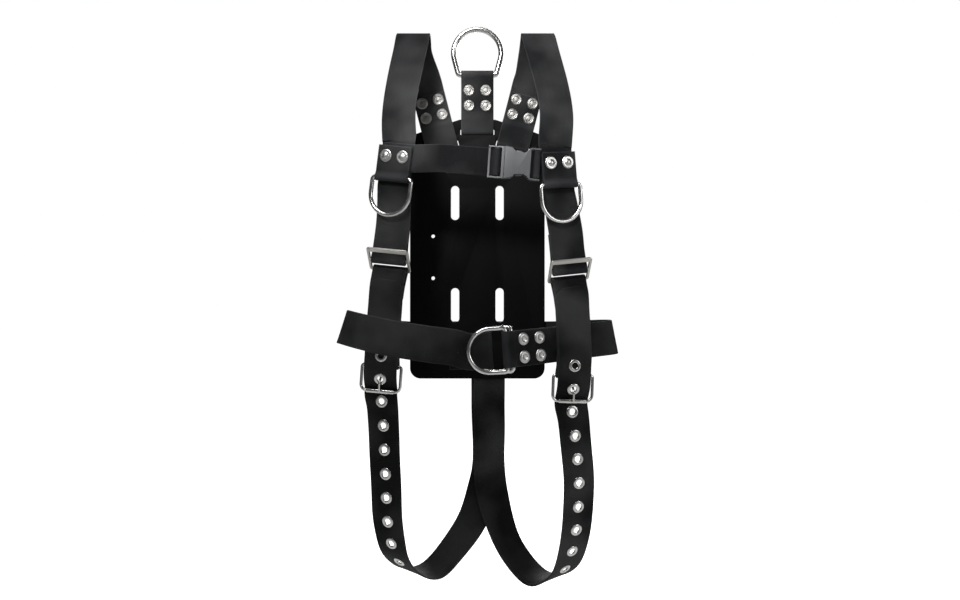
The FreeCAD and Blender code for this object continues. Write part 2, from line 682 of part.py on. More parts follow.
def along_path(path, start, distance):
    """Working frame on the path, at a distance past the station nearest to start."""
    first = min(range(len(path)), key=lambda i: (path[i][0] - start).Length)
    left = distance
    steps = zip(path[first:], path[first + 1:])
    if distance < 0:
        steps = zip(reversed(path[:first + 1]), reversed(path[:first]))
        left = -distance
    for (a, across_a), (b, across_b) in steps:
        length = (b - a).Length
        if left <= length:
            t = left / length
            along = b - a if distance >= 0 else a - b
            along.normalize()
            across = across_a * (1 - t) + across_b * t
            across = across - along * across.dot(along)
            across.normalize()
            up = along * -1
            return Placement(a + (b - a) * t, Rotation(across, up.cross(across), up, "XZY"))
        left -= length
    raise ValueError("distance runs off the strap")


def grommet_frames(side):
    path = leg_strap_path(side)
    pierced = buckled_run(side)[1][0]
    distances = [-GROMMET_PITCH + 1, 0] + [GROMMET_PITCH * (k + 1) for k in range(GROMMETS_BELOW_BUCKLE)]
    return [along_path(path, pierced, d) for d in distances]


def leg_strap(side):
    strap = ribbon(leg_strap_path(side), LEG_STRAP_WIDTH)
    for frame in grommet_frames(side):
        strap = strap.cut(moved(grommet_room(), frame))
    return strap


def leg_grommets(side):
    return [moved(grommet(), frame) for frame in grommet_frames(side)]


# ==== chest strap and side-release buckle ====================================================
def chest_frame():
    place = CHEST_BUCKLE
    return placed(place.x, place.y, place.z, 0, place.slope)


def chest_across():
    return chest_frame().Rotation.multVec(Z_AXIS)


def arc_xy(centre_x, centre_y, radius, first, last, steps=8):
    """Points (x, y, 0) round an upright bar; angles in degrees from +X towards +Y."""
    points = []
    for k in range(steps + 1):
        angle = math.radians(first + (last - first) * k / steps)
        points.append((centre_x + radius * math.cos(angle), centre_y + radius * math.sin(angle), 0))
    return points


def chest_strap_left():
    """From under the left tab, behind the end bar, round the ladder bar; the tail lies behind."""
    wrap = BUCKLE_BAR_RADIUS + WRAP_GAP + HALF_WEBBING
    under_tab = stations(tab_frame(LEFT), [(-21, -3, 0), (26, -3, 0), (27, -3, 0)], Z_AXIS)
    frame = chest_frame()
    run = stations(frame, [(-100, 0.6, 0), (-62, -0.2, 0), (-48, 0.4, 0), (-38.5, 2.8, 0)], Z_AXIS)
    behind = stations(frame, [(-36.6, 3.15, 0), (-33.6, 3.15, 0), (-31.4, 2.4, 0),
                              (-29.3, 1.0, 0)], Z_AXIS)
    turn = stations(frame, arc_xy(LADDER_BAR_X, 0, wrap, 195, 440), Z_AXIS)
    tail = stations(frame, [(-26.5, 4.4, 0), (-34, 6.7, 0), (-45, 5.6, 0), (-60, 4.6, 0),
                            (-92, 4.8, 0)], Z_AXIS)
    path = under_tab[:2] + smooth(under_tab[2:] + run) + behind + turn + smooth(tail)
    strap = ribbon(path, CHEST_STRAP_WIDTH)
    return drilled(strap, tab_frame(LEFT), TAB_RIVET_SPOTS)


# Middle of the right chest strap under its tab: x, height and slant, where it turns level.
UNDER_RIGHT_TAB = [(-25.5, -2.3, 9.0), (-19, -3.2, 6.5), (-12, -3.8, 3.5), (-5, -4.05, 1.0),
                   (2, -4.1, 0), (21, -4.1, 0)]


def chest_strap_right():
    """Short end sewn round the housing's end bar and held under the right tab."""
    wrap = BUCKLE_BAR_RADIUS + WRAP_GAP + HALF_WEBBING
    frame = chest_frame()
    sewn = stations(frame, [(34.4, -1.5, 0), (32.9, -2.9, 0)], Z_AXIS)
    turn = stations(frame, arc_xy(END_BAR_X, 0, wrap, 280, 90), Z_AXIS)
    under_tab = []
    for x, height, degrees in UNDER_RIGHT_TAB:
        slant = math.radians(degrees)
        across = Vector(math.sin(slant), 0, math.cos(slant))
        under_tab += stations(tab_frame(RIGHT), [(x, -3, height)], across)
    strap = ribbon(sewn + turn + under_tab, CHEST_STRAP_WIDTH)
    return drilled(strap, tab_frame(RIGHT), TAB_RIVET_SPOTS)


def buckle_housing():
    """Female half: hourglass shell, open mouth, open sides at the waist and a webbing bar."""
    half_h = BUCKLE_BODY_HEIGHT / 2
    half_t = BUCKLE_BODY_THICKNESS / 2
    upper = [(HOUSING_MOUTH, half_h), (-5, half_h - 1.1), (1, half_h - 6.2), (13, half_h - 7.2),
             (17.5, half_h - 4.2), (21, half_h - 0.7), (24, half_h), (HOUSING_END, half_h)]
    lower = [(x, -z) for x, z in reversed(upper)]
    face = polygon_face(*[Vector(x, -half_t, z) for x, z in upper + lower])
    body = face.extrude(Y_AXIS * (2 * half_t))
    body = body.cut(box((HOUSING_MOUTH - 1, -4.5, -17), (17.5, 4.5, 17)))
    rail_z = half_h - BUCKLE_RAIL
    body = body.cut(box((END_WINDOW_X, -9, -rail_z), (HOUSING_END + 1, 9, rail_z)))
    for low, high in ((-9, -3.5), (3.5, 9)):
        body = body.cut(box((END_WINDOW_X + 3, low, -half_h - 1), (HOUSING_END + 1, high, half_h + 1)))
    bar = cylinder(BUCKLE_BAR_RADIUS, Vector(END_BAR_X, 0, -rail_z - 0.5),
                   Vector(END_BAR_X, 0, rail_z + 0.5))
    return moved(body.fuse(bar).removeSplitter(), chest_frame())


def buckle_tongue():
    """Male half: ladder frame with two bars, and the guide that enters the housing."""
    half_h = BUCKLE_BODY_HEIGHT / 2
    rail_z = half_h - BUCKLE_RAIL
    body = box((LADDER_BASE_X, -3.2, -half_h), (HOUSING_MOUTH - 0.4, 3.2, half_h))
    for side in (-1, 1):
        low, high = sorted((side * rail_z, side * half_h))
        body = body.fuse(box((LADDER_END, -2.4, low), (LADDER_BASE_X + 1, 2.4, high)))
    for x, radius in ((LADDER_END_BAR_X, LADDER_END_BAR_RADIUS), (LADDER_BAR_X, BUCKLE_BAR_RADIUS)):
        body = body.fuse(cylinder(radius, Vector(x, 0, -rail_z - 0.5), Vector(x, 0, rail_z + 0.5)))
    guide = box((LADDER_BASE_X + 1, -2.2, -4.5), (15.5, 2.2, 4.5))
    return moved(body.fuse(guide).removeSplitter(), chest_frame())


def buckle_prongs():
    """Two springy arms with barbs that show in the housing's side windows."""
    arms = []
    for side in (-1, 1):
        outline = [(HOUSING_MOUTH - 0.4, 10), (HOUSING_MOUTH - 0.4, 14), (1.2, 13.4), (1.8, 17.4),
                   (9, 16.4), (16, 11), (11.5, 9.5)]
        face = polygon_face(*[Vector(x, -3, side * z) for x, z in outline])
        arms.append(moved(face.extrude(Y_AXIS * 6), chest_frame()))
    return arms


# ==== waist belt =============================================================================
def waist_frame():
    """At the front ring's bar: X along the belt to the right, Z along the bar."""
    return placed(WAIST_BARS.x, WAIST_BARS.y, WAIST_BARS.z, 0, WAIST_RING_LEAN)


def belt_frame():
    """The same origin, with X turned along the doubled end of the right belt."""
    return waist_frame().multiply(placed(0, 0, 0, BELT_TO_BARS_YAW))


def waist_ring(bar_offset, swing):
    """A ring on its bar; the bars are bar_offset apart along the belt."""
    sideways = Placement(Vector(0, 0, 0), Rotation(Y_AXIS, 90))
    turn = math.radians(BELT_TO_BARS_YAW)
    bar = Vector(bar_offset * math.cos(turn), bar_offset * math.sin(turn), 0)
    swung = Placement(bar, Rotation(Z_AXIS, swing))
    ring = d_ring(RING_RADIUS, RING_DEPTH, RING_WIRE, 0, RING_CORNER)
    return moved(ring, waist_frame().multiply(swung).multiply(sideways))


def waist_ring_front():
    return waist_ring(0, -FRONT_RING_SWING)


def waist_ring_rear():
    return waist_ring(WAIST_BAR_PITCH, -REAR_RING_SWING)


LEFT_BELT = [
    (Vector(-105, 5.5, BELT_Z), Vector(0.03, 0, 1)),
    (Vector(-135, -9, -460), Vector(0.10, 0, 1)),
    (Vector(-165, -32, -454), Vector(0.22, 0, 1)),
    (Vector(-185, -54, -448), Vector(0.30, 0, 1)),
    (Vector(-192.5, -75, -445), Vector(0.33, 0, 1)),
    (Vector(-187, -97, -444), Vector(0.30, 0, 1)),
    (Vector(-168, -121, -447.5), Vector(0.23, 0, 1)),
    (Vector(-140, -144, -452.5), Vector(0.17, 0, 1)),
    (Vector(-105, -157, -459), Vector(0.16, 0, 1)),
    (Vector(-65, -160, -465), Vector(0.15, 0, 1)),
    (Vector(-32, -158, -469.5), Vector(0.11, 0, 1))]
RIGHT_BELT = [
    (Vector(105, 5.5, BELT_Z), Vector(0, 0, 1)),
    (Vector(137, -10, -462), Vector(-0.08, 0, 1)),
    (Vector(168, -33, -460), Vector(-0.15, 0, 1)),
    (Vector(189, -57, -458.5), Vector(-0.19, 0, 1)),
    (Vector(196, -74, -458.5), Vector(-0.20, 0, 1)),
    (Vector(188, -89, -459.5), Vector(-0.18, 0, 1)),
    (Vector(165, -99, -462), Vector(-0.14, 0, 1)),
    (Vector(135, -106, -465), Vector(-0.09, 0, 1))]


def doubled_frame():
    """Middle of the riveted, doubled part of the right belt; X along the belt, outwards."""
    return belt_frame().multiply(placed(DOUBLED_MIDDLE, 0, 0))


def waist_belt_left():
    """From the back of the plate round the left side to the rings, folded back through them."""
    plate_run = [(Vector(-0.3, BELT_Y, BELT_Z), Z_AXIS), (Vector(-92, BELT_Y, BELT_Z), Z_AXIS)]
    rings = waist_frame()
    through = stations(rings, [(-50, 3.2, 0), (-40, 4.4, 0), (-30, 6.2, 0)], Z_AXIS)
    fold = stations(rings, arc_xy(-24.5, 12.6, 5.0, -75, 103), Z_AXIS)
    tail = stations(rings, [(-33, 19.6, 0), (-43, 22.4, 0), (-60, 22, 0.6), (-78, 18, 1.6)], Z_AXIS)
    path = plate_run[:1] + smooth(plate_run[1:] + LEFT_BELT + through) + fold + smooth(tail)
    strap = ribbon(path, STRAP_WIDTH)
    return drilled(strap, Placement(), BELT_RIVET_SPOTS)


def waist_belt_right():
    """From the back of the plate round the right side, folded round both ring bars."""
    plate_run = [(Vector(0.3, BELT_Y, BELT_Z), Z_AXIS), (Vector(92, BELT_Y, BELT_Z), Z_AXIS)]
    near = LAYER / 2
    doubled = doubled_frame()
    front = stations(doubled, [(25, -near, 0), (23, -near, 0), (-22.3, -near, 0),
                               (-24, -near, 0)], Z_AXIS)
    wrap = RING_WIRE + WRAP_GAP + HALF_WEBBING
    loop = [(WAIST_BAR_PITCH + 1.5, -wrap, 0)] + arc_xy(0, 0, wrap, 270, 90)
    loop += [(WAIST_BAR_PITCH + 1.5, wrap, 0)]
    back_layer = stations(doubled, [(-24, near, 0), (-22.3, near, 0), (27, near, 0)], Z_AXIS)
    path = plate_run[:1] + smooth(plate_run[1:] + RIGHT_BELT + front[:1])
    path += front[1:] + stations(belt_frame(), loop, Z_AXIS) + back_layer
    strap = ribbon(path, STRAP_WIDTH)
    strap = drilled(strap, doubled, grid(*BELT_LOOP_RIVETS))
    return drilled(strap, Placement(), BELT_RIVET_SPOTS)


def belt_loop_rivets():
    face = LAYER / 2 + HALF_WEBBING
    return rivets(doubled_frame(), grid(*BELT_LOOP_RIVETS), -face, face, "dimpled")


def belt_plate_rivets():
    return rivets(Placement(), BELT_RIVET_SPOTS, -PLATE_THICKNESS / 2, BELT_Y + HALF_WEBBING, "ringed")


# ==== the whole harness ======================================================================
def build():
    parts["back_plate"] = [back_plate()]
    parts["lift_strap"] = [lift_strap()]
    parts["lift_strap_rivets"] = lift_rivets()
    parts["lift_ring"] = [lift_ring()]
    for side in SIDES:
        name = side.name
        parts["shoulder_strap_" + name] = [shoulder_strap(side)]
        parts["shoulder_rivets_" + name] = shoulder_rivets(side)
        parts["chest_tab_" + name] = [chest_tab(side)]
        parts["tab_rivets_" + name] = tab_rivets(side)
        parts["chest_ring_" + name] = [chest_ring(side)]
        parts["slider_" + name] = [tri_bar_slider(side)]
        parts["lower_strap_" + name] = [lower_strap(side)]
        parts["leg_buckle_frame_" + name] = [moved(buckle_frame(), leg_buckle_frame(side))]
        parts["leg_buckle_roller_" + name] = [moved(buckle_roller(), leg_buckle_frame(side))]
        parts["leg_buckle_prong_" + name] = [moved(buckle_prong(), leg_buckle_frame(side))]
        parts["leg_strap_" + name] = [leg_strap(side)]
        parts["leg_grommets_" + name] = leg_grommets(side)
    parts["chest_strap_left"] = [chest_strap_left()]
    parts["chest_strap_right"] = [chest_strap_right()]
    parts["buckle_housing"] = [buckle_housing()]
    parts["buckle_tongue"] = [buckle_tongue()]
    parts["buckle_prongs"] = buckle_prongs()
    parts["waist_belt_left"] = [waist_belt_left()]
    parts["waist_belt_right"] = [waist_belt_right()]
    parts["belt_loop_rivets"] = belt_loop_rivets()
    parts["belt_plate_rivets"] = belt_plate_rivets()
    parts["waist_ring_front"] = [waist_ring_front()]
    parts["waist_ring_rear"] = [waist_ring_rear()]


def export():
    os.makedirs("parts", exist_ok=True)
    for name, solids in parts.items():
        shape = solids[0] if len(solids) == 1 else Part.makeCompound(solids)
        shape.exportStep("parts/" + name + ".step")
        limits = shape.BoundBox
        print("%-26s solids %2d valid %s volume %9.1f  x %7.1f %7.1f  y %7.1f %7.1f  z %7.1f %7.1f" % (
            name, len(shape.Solids), shape.isValid(), shape.Volume, limits.XMin, limits.XMax,
            limits.YMin, limits.YMax, limits.ZMin, limits.ZMax))


build()
export()
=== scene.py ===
"""Visual model of a working diver's webbing harness on a rigid backplate.

Lengths in this file are in millimetres until a mesh is made; the scene itself is in metres.
+Z is up and -Y is the front.  "left" is the -X side.
"""
import math
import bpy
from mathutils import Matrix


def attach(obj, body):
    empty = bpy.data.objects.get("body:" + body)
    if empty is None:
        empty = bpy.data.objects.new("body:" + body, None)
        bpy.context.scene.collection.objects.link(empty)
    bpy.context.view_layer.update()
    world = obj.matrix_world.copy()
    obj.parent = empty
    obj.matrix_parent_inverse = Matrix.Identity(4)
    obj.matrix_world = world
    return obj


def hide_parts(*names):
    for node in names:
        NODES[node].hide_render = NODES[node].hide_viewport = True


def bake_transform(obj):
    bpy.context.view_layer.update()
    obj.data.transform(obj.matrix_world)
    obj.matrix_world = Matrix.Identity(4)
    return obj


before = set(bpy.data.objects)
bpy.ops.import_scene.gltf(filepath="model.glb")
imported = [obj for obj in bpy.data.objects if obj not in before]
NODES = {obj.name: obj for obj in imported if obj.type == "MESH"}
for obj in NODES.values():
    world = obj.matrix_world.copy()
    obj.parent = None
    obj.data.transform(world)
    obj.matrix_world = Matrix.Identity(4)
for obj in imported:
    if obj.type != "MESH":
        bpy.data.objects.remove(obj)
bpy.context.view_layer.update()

from types import SimpleNamespace

import bmesh
import bpy
import numpy as np
from mathutils import Matrix, Vector, noise

MM = 0.001
X_AXIS = Vector((1, 0, 0))
Y_AXIS = Vector((0, 1, 0))
Z_AXIS = Vector((0, 0, 1))

# ---- webbing ----
STRAP_WIDTH = 49.0
LEG_STRAP_WIDTH = 47.0
CHEST_STRAP_WIDTH = 38.0
WEBBING = 2.3
CAD_HALF = 1.2                # half thickness that the routes were laid out for
LAYER = 3.0
WRAP_GAP = 0.35
CURVE_STEPS = 5
COLUMN = 2.6                  # mesh spacing across a strap
ROW = 2.2                     # mesh spacing along a strap

# ---- plate and rings ----
PLATE_TOP = -133.0
PLATE_THICKNESS = 5.0
PLATE_LAYER = 4.2
LIFT_WIRE = 4.0
LIFT_RING_RADIUS = 36.0
LIFT_RING_DEPTH = 69.0
LIFT_RING_LEAN = 15.0
LIFT_BAR_Z = LIFT_WIRE - LIFT_RING_DEPTH
RING_WIRE = 3.0
RING_RADIUS = 29.5
RING_DEPTH = 51.0
RING_CORNER = 5.0
BUCKLE_WIRE = 2.1
BUCKLE_HALF_WIDTH = 28.0
BUCKLE_HEIGHT = 36.0
BUCKLE_CORNER = 4.0
BUCKLE_LOW_CORNER = 8.0
ROLLER_RADIUS = 3.2
ROLLER_HALF_LENGTH = 19.5
PRONG_RADIUS = 1.5
SLIDER_HEIGHT = 40.0
SLIDER_BAR = 4.5
SLIDER_PITCH = 42.0
SLIDER_SLACK = 1.2
SLIDER_WRAP = math.hypot(SLIDER_BAR, 3.2) / 2 + SLIDER_SLACK + CAD_HALF

# ---- rivets and grommets ----
HEAD_RADIUS = 8.75
SHANK_RADIUS = 3.0
GROMMET_HOLE = 4.25
GROMMET_BARREL = 5.4
GROMMET_SEAT = 0.45
GROMMET_PITCH = 34.0
GROMMETS_BELOW_BUCKLE = 8
LIFT_RIVET_Z = -100.5
LIFT_RIVETS = (12.8, 11.5)
SHOULDER_RIVETS = (12.6, 11.6)
BELT_LOOP_RIVETS = (13.5, 12.2)
TAB_RIVET_SPOTS = [(-12.6, 0), (12.6, 0)]

# ---- where things hang ----
BUCKLE_BAR_RADIUS = 1.9
END_BAR_X = 30.0
LADDER_BAR_X = -24.5
LEFT = SimpleNamespace(name="left", sign=-1, crest_x=94.5, front_x=(98.0, 105.5, 110.0),
                       tab=(-110.2, -123.0, -209.4), tab_lean=8.0, slider=(-122.0, -119.0, -351.0),
                       buckle=(-131.5, -121.0, -496.0), buckle_lean=4.0, tail_tip=-376.0)
RIGHT = SimpleNamespace(name="right", sign=1, crest_x=88.5, front_x=(94.5, 105.0, 111.0),
                        tab=(109.2, -123.0, -217.9), tab_lean=5.0, slider=(128.0, -119.0, -365.0),
                        buckle=(132.5, -121.0, -509.6), buckle_lean=-2.0, tail_tip=-386.0)
SIDES = (LEFT, RIGHT)
TAB_BAR = Vector((0, -7.5, -29.5))
TAB_BACK_LAYER = -6.0
TAB_FRONT_LAYER = -9.0
TAB_TOP = 14.5
TAB_STRAIGHT_END = -24.0
LOWER_LAYER = -(BUCKLE_WIRE + WRAP_GAP + CAD_HALF)
BELT_Z = -463.0
BELT_Y = 7.4
BELT_RIVET_SPOTS = [(x, BELT_Z - 3) for x in (-86, -62, 62, 86)]
WAIST_BAR_PITCH = 9.0
REAR_RING_SWING = 14.0
FRONT_RING_SWING = -3.5
BELT_TO_BARS_YAW = 32.0
DOUBLED_MIDDLE = 40.5
RISER_TOP = -442.0


# ==== frames and routes ====
def placed(x, y, z, yaw=0.0, lean=0.0):
    return (Matrix.Translation((x, y, z)) @ Matrix.Rotation(math.radians(yaw), 4, "Z")
            @ Matrix.Rotation(math.radians(lean), 4, "Y"))


def shoulder_frame(side):
    return placed(side.sign * 68.3, 0, -117.0, 0, side.sign * 14.5)


def tab_frame(side):
    return placed(*side.tab, side.sign * 20.0, -side.sign * side.tab_lean)


def slider_frame(side):
    return placed(*side.slider, side.sign * 12.0, -side.sign * 6.0)


def leg_buckle_frame(side):
    return placed(*side.buckle, side.sign * 10.0, -side.sign * side.buckle_lean)


def chest_frame():
    return placed(51.0, -138.4, -220.0, 0, 4.0)


def waist_frame():
    return placed(39.5, -158.0, -472.4, 0, -4.0)


def belt_frame():
    return waist_frame() @ placed(0, 0, 0, BELT_TO_BARS_YAW)


def doubled_frame():
    return belt_frame() @ placed(DOUBLED_MIDDLE, 0, 0)


def stations(base, points, across=X_AXIS):
    turn = base.to_3x3()
    result = []
    for p in points:
        local = Vector((0, *p)) if len(p) == 2 else Vector(p)
        result.append((base @ local, turn @ across))
    return result


def upright(base, points):
    """Stations of a band that stands on edge, from points (x, y) or (x, y, z)."""
    return stations(base, [(*p, 0)[:3] for p in points], Z_AXIS)


def spline_value(a, b, c, d, t):
    return (b * 2 + (c - a) * t + (a * 2 - b * 5 + c * 4 - d) * (t * t)
            + (b * 3 - a - c * 3 + d) * (t * t * t)) * 0.5


def smooth(path, steps=CURVE_STEPS):
    last = len(path) - 1
    result = []
    for i in range(last):
        four = [path[max(i - 1, 0)], path[i], path[i + 1], path[min(i + 2, last)]]
        for k in range(steps):
            t = k / steps
            centre = spline_value(*[p[0] for p in four], t)
            across = spline_value(*[p[1] for p in four], t).normalized()
            result.append((centre, across))
    result.append(path[last])
    return result


def arc(centre_y, centre_z, radius, first, last, steps=10):
    """Points (y, z) round a bar, or (x, y) round an upright one; degrees from the first axis."""
    angles = [math.radians(first + (last - first) * k / steps) for k in range(steps + 1)]
    return [(centre_y + radius * math.cos(a), centre_z + radius * math.sin(a)) for a in angles]


def normals(path):
    before, after = path[:1] + path[:-1], path[1:] + path[-1:]
    return [(b[0] - a[0]).normalized().cross(across).normalized()
            for a, (_, across), b in zip(before, path, after)]


def grid(half_x, half_z):
    return [(x, z) for z in (half_z, -half_z) for x in (-half_x, half_x)]


LIFT_RIVET_SPOTS = [(x, z + LIFT_RIVET_Z) for x, z in grid(*LIFT_RIVETS)]


def lift_route():
    wrap = LIFT_WIRE + WRAP_GAP + CAD_HALF
    near = LAYER / 2
    points = [(near, LIFT_RIVET_Z + 0.6), (near, -80.2), (near, -78.5)]
    points += arc(0, LIFT_BAR_Z, wrap, -20, 200, 14)
    points += [(-near, -78.5), (-near, -80.2), (-near, -122), (-PLATE_LAYER, PLATE_TOP + 0.5)]
    points += arc(0, PLATE_TOP - 18.1, PLATE_LAYER, 180, 360)
    points += [(PLATE_LAYER, PLATE_TOP + 0.5), (near, -122), (near, LIFT_RIVET_Z - 0.6)]
    return stations(Matrix(), points)


def shoulder_route(side):
    s = side.sign
    near = LAYER / 2
    low = [(-near, 22), (-near, -20.4), (-near, -22), (-PLATE_LAYER, -26.6)]
    low += arc(0, -58.5, PLATE_LAYER, 180, 360)
    low += [(PLATE_LAYER, -26.6), (near, -22), (near, -20.4), (near, 21.5), (near, 24)]
    path = stations(shoulder_frame(side), low)
    crest, front = side.crest_x, side.front_x
    over = [(Vector((s * x, y, z)), Vector((1, towards_y * s, towards_z * s)))
            for x, y, z, towards_y, towards_z in (
                (77.4, -0.4, -81, 0, -0.22), (82, -5, -66, 0, -0.16),
                (crest - 2.5, -12.5, -39, 0, -0.05), (crest - 0.5, -20, -19.5, 0, 0),
                (crest, -32, -13, 0, 0), (crest + 0.5, -44, -19.5, 0, 0),
                (front[0], -53, -43, 0.05, 0.02), (front[1], -77, -92, 0.15, 0.06),
                (front[2], -101, -144, 0.28, 0.09))]
    joined = [path[-1]] + over + stations(tab_frame(side), [(0, 24)])
    path = path[:-1] + smooth(joined, 8)
    path += stations(tab_frame(side), [(0, 22), (0, -38), (0, -40)])
    path = path[:-1] + smooth([path[-1]] + stations(slider_frame(side), [(2, 62), (1, 30)]), 8)
    turn = [(-1.5, 12)] + arc(0, 0, SLIDER_WRAP, 160, 340)
    turn += [(5.9, 9), (4.4, 26), (4.7, 52)]
    return path + stations(slider_frame(side), turn)


def tab_route(side):
    wrap = RING_WIRE + WRAP_GAP + CAD_HALF
    points = [(TAB_BACK_LAYER, TAB_TOP), (TAB_BACK_LAYER, TAB_STRAIGHT_END)]
    points += arc(TAB_BAR.y, TAB_BAR.z, wrap, 35, -215, 12)
    points += [(TAB_FRONT_LAYER, TAB_STRAIGHT_END), (TAB_FRONT_LAYER, TAB_TOP)]
    return stations(tab_frame(side), points)


def lower_run(side):
    start = stations(slider_frame(side), [(4.5, -24), (1.5, -38)])
    end = stations(leg_buckle_frame(side), [(LOWER_LAYER, 30), (LOWER_LAYER, 12), (LOWER_LAYER, 0)])
    middle = [((start[-1][0] + end[0][0]) * 0.5, (start[-1][1] + end[0][1]) * 0.5)]
    return smooth(start + middle + end)


def lower_route(side):
    pitch = math.radians(SLIDER_PITCH)
    bar = -SLIDER_HEIGHT / 2 + SLIDER_BAR / 2
    top = [(4.6, -52), (7.5, -36), (12, -24)]
    top += arc(-bar * math.sin(pitch), bar * math.cos(pitch), SLIDER_WRAP, 0, 180)
    bottom = arc(0, 0, -LOWER_LAYER, 195, 360)
    bottom += [(-LOWER_LAYER, 3), (LOWER_LAYER + LAYER, 13), (LOWER_LAYER + LAYER, 26)]
    return (stations(slider_frame(side), top) + lower_run(side)
            + stations(leg_buckle_frame(side), bottom))


def hand_placed(rows):
    return [(Vector(row[:3]), Vector(row[3:])) for row in rows]


LEFT_LOOP = hand_placed([
    (-131, -114, -560, 0.95, -0.31, 0), (-129, -110, -612, 0.94, -0.34, 0),
    (-127, -106, -670, 0.94, -0.35, 0), (-124, -101, -725, 0.92, -0.39, -0.04),
    (-115, -89, -770, 0.87, -0.48, -0.12), (-94, -66, -798, 0.80, -0.58, -0.13),
    (-66, -42, -803, 0.71, -0.66, -0.24), (-36, -28, -776, 0.66, -0.64, -0.39),
    (-9, -11, -738, 0.78, -0.42, -0.42), (8, -2, -692, 0.94, -0.10, -0.30),
    (16.5, 2.5, -650, 1, 0, -0.10), (15, 6.5, -590, 1, 0, 0)])
RIGHT_LOOP = hand_placed([
    (134, -116, -574, 0.95, 0.31, 0), (139, -112, -625, 0.94, 0.34, 0),
    (142, -107, -680, 0.94, 0.35, 0), (138, -99, -737, 0.92, 0.39, 0.04),
    (128, -80, -786, 0.87, 0.48, 0.12), (108, -55, -811, 0.80, 0.58, 0.13),
    (82, -36, -812, 0.71, 0.66, 0.24), (52, -24, -780, 0.66, 0.64, 0.39),
    (33, -21, -735, 0.80, 0.45, 0.36), (22, -16, -692, 0.95, 0.12, 0.22),
    (18, -8.5, -650, 1, 0, 0.05), (18.3, 0.5, -590, 1, 0, 0)])


def buckled_run(side):
    over_pivot = LOWER_LAYER - LAYER
    points = [(over_pivot + 0.5, -9), (-3.6, -19), (1.0, -27.5), (4.9, -34), (5.2, -42)]
    return stations(leg_buckle_frame(side), points)


def leg_route(side):
    run = lower_run(side)
    outwards = normals(run)
    back = 1 if outwards[len(run) // 2].y > 0 else -1
    tail = [(centre - normal * (LAYER * back), across)
            for (centre, across), normal in zip(run, outwards)]
    tail = [p for p in tail if p[0].z < side.tail_tip]
    loop, x, y = (LEFT_LOOP, 14.3, 10.6) if side is LEFT else (RIGHT_LOOP, 18.3, PLATE_LAYER)
    riser = [(Vector((x, y - 0.5, -535)), X_AXIS), (Vector((x, y, -505)), X_AXIS)]
    path = tail[:-1] + smooth(tail[-1:] + buckled_run(side) + loop + riser)
    return path + [(Vector((x, y, RISER_TOP)), X_AXIS)]


def chest_left_route():
    """Under the left tab, behind the end bar, round the ladder bar, and back behind itself."""
    wrap = BUCKLE_BAR_RADIUS + WRAP_GAP + CAD_HALF
    under_tab = upright(tab_frame(LEFT), [(-21, -3), (26, -3), (27, -3)])
    buckle = chest_frame()
    run = upright(buckle, [(-100, 0.6), (-62, -0.2), (-48, 0.4), (-38.5, 2.8)])
    behind = upright(buckle, [(-36.6, 3.15), (-33.6, 3.15), (-31.4, 2.4), (-29.3, 1.0)])
    turn = upright(buckle, arc(LADDER_BAR_X, 0, wrap, 195, 440))
    tail = upright(buckle, [(-26.5, 4.4), (-34, 6.7), (-45, 5.6), (-60, 4.6), (-92, 4.8)])
    return under_tab[:2] + smooth(under_tab[2:] + run, 8) + behind + turn + smooth(tail, 8)


UNDER_RIGHT_TAB = [(-25.5, -2.3, 9.0), (-19, -3.2, 6.5), (-12, -3.8, 3.5), (-5, -4.05, 1.0),
                   (2, -4.1, 0), (21, -4.1, 0)]


def chest_right_route():
    wrap = BUCKLE_BAR_RADIUS + WRAP_GAP + CAD_HALF
    turn = [(34.4, -1.5), (32.9, -2.9)] + arc(END_BAR_X, 0, wrap, 280, 90)
    under_tab = []
    for x, height, degrees in UNDER_RIGHT_TAB:
        slant = math.radians(degrees)
        across = Vector((math.sin(slant), 0, math.cos(slant)))
        under_tab += stations(tab_frame(RIGHT), [(x, -3, height)], across)
    return upright(chest_frame(), turn) + under_tab


LEFT_BELT = hand_placed([
    (-105, 5.5, BELT_Z, 0.03, 0, 1), (-135, -9, -460, 0.10, 0, 1), (-165, -32, -454, 0.22, 0, 1),
    (-185, -54, -448, 0.30, 0, 1), (-192.5, -75, -445, 0.33, 0, 1),
    (-187, -97, -444, 0.30, 0, 1), (-168, -121, -447.5, 0.23, 0, 1),
    (-140, -144, -452.5, 0.17, 0, 1), (-105, -157, -459, 0.16, 0, 1),
    (-65, -160, -465, 0.15, 0, 1), (-32, -158, -469.5, 0.11, 0, 1)])
RIGHT_BELT = hand_placed([
    (105, 5.5, BELT_Z, 0, 0, 1), (137, -10, -462, -0.08, 0, 1), (168, -33, -460, -0.15, 0, 1),
    (189, -57, -458.5, -0.19, 0, 1), (196, -74, -458.5, -0.20, 0, 1),
    (188, -89, -459.5, -0.18, 0, 1), (165, -99, -462, -0.14, 0, 1),
    (135, -106, -465, -0.09, 0, 1)])


def belt_left_route():
    start = upright(Matrix(), [(-0.3, BELT_Y, BELT_Z), (-92, BELT_Y, BELT_Z)])
    rings = waist_frame()
    through = upright(rings, [(-50, 3.2), (-40, 4.4), (-30, 6.2)])
    fold = upright(rings, arc(-24.5, 12.6, 5.0, -75, 103))
    tail = upright(rings, [(-33, 19.6), (-43, 22.4), (-60, 22, 0.6), (-78, 18, 1.6)])
    return start[:1] + smooth(start[1:] + LEFT_BELT + through, 8) + fold + smooth(tail, 8)


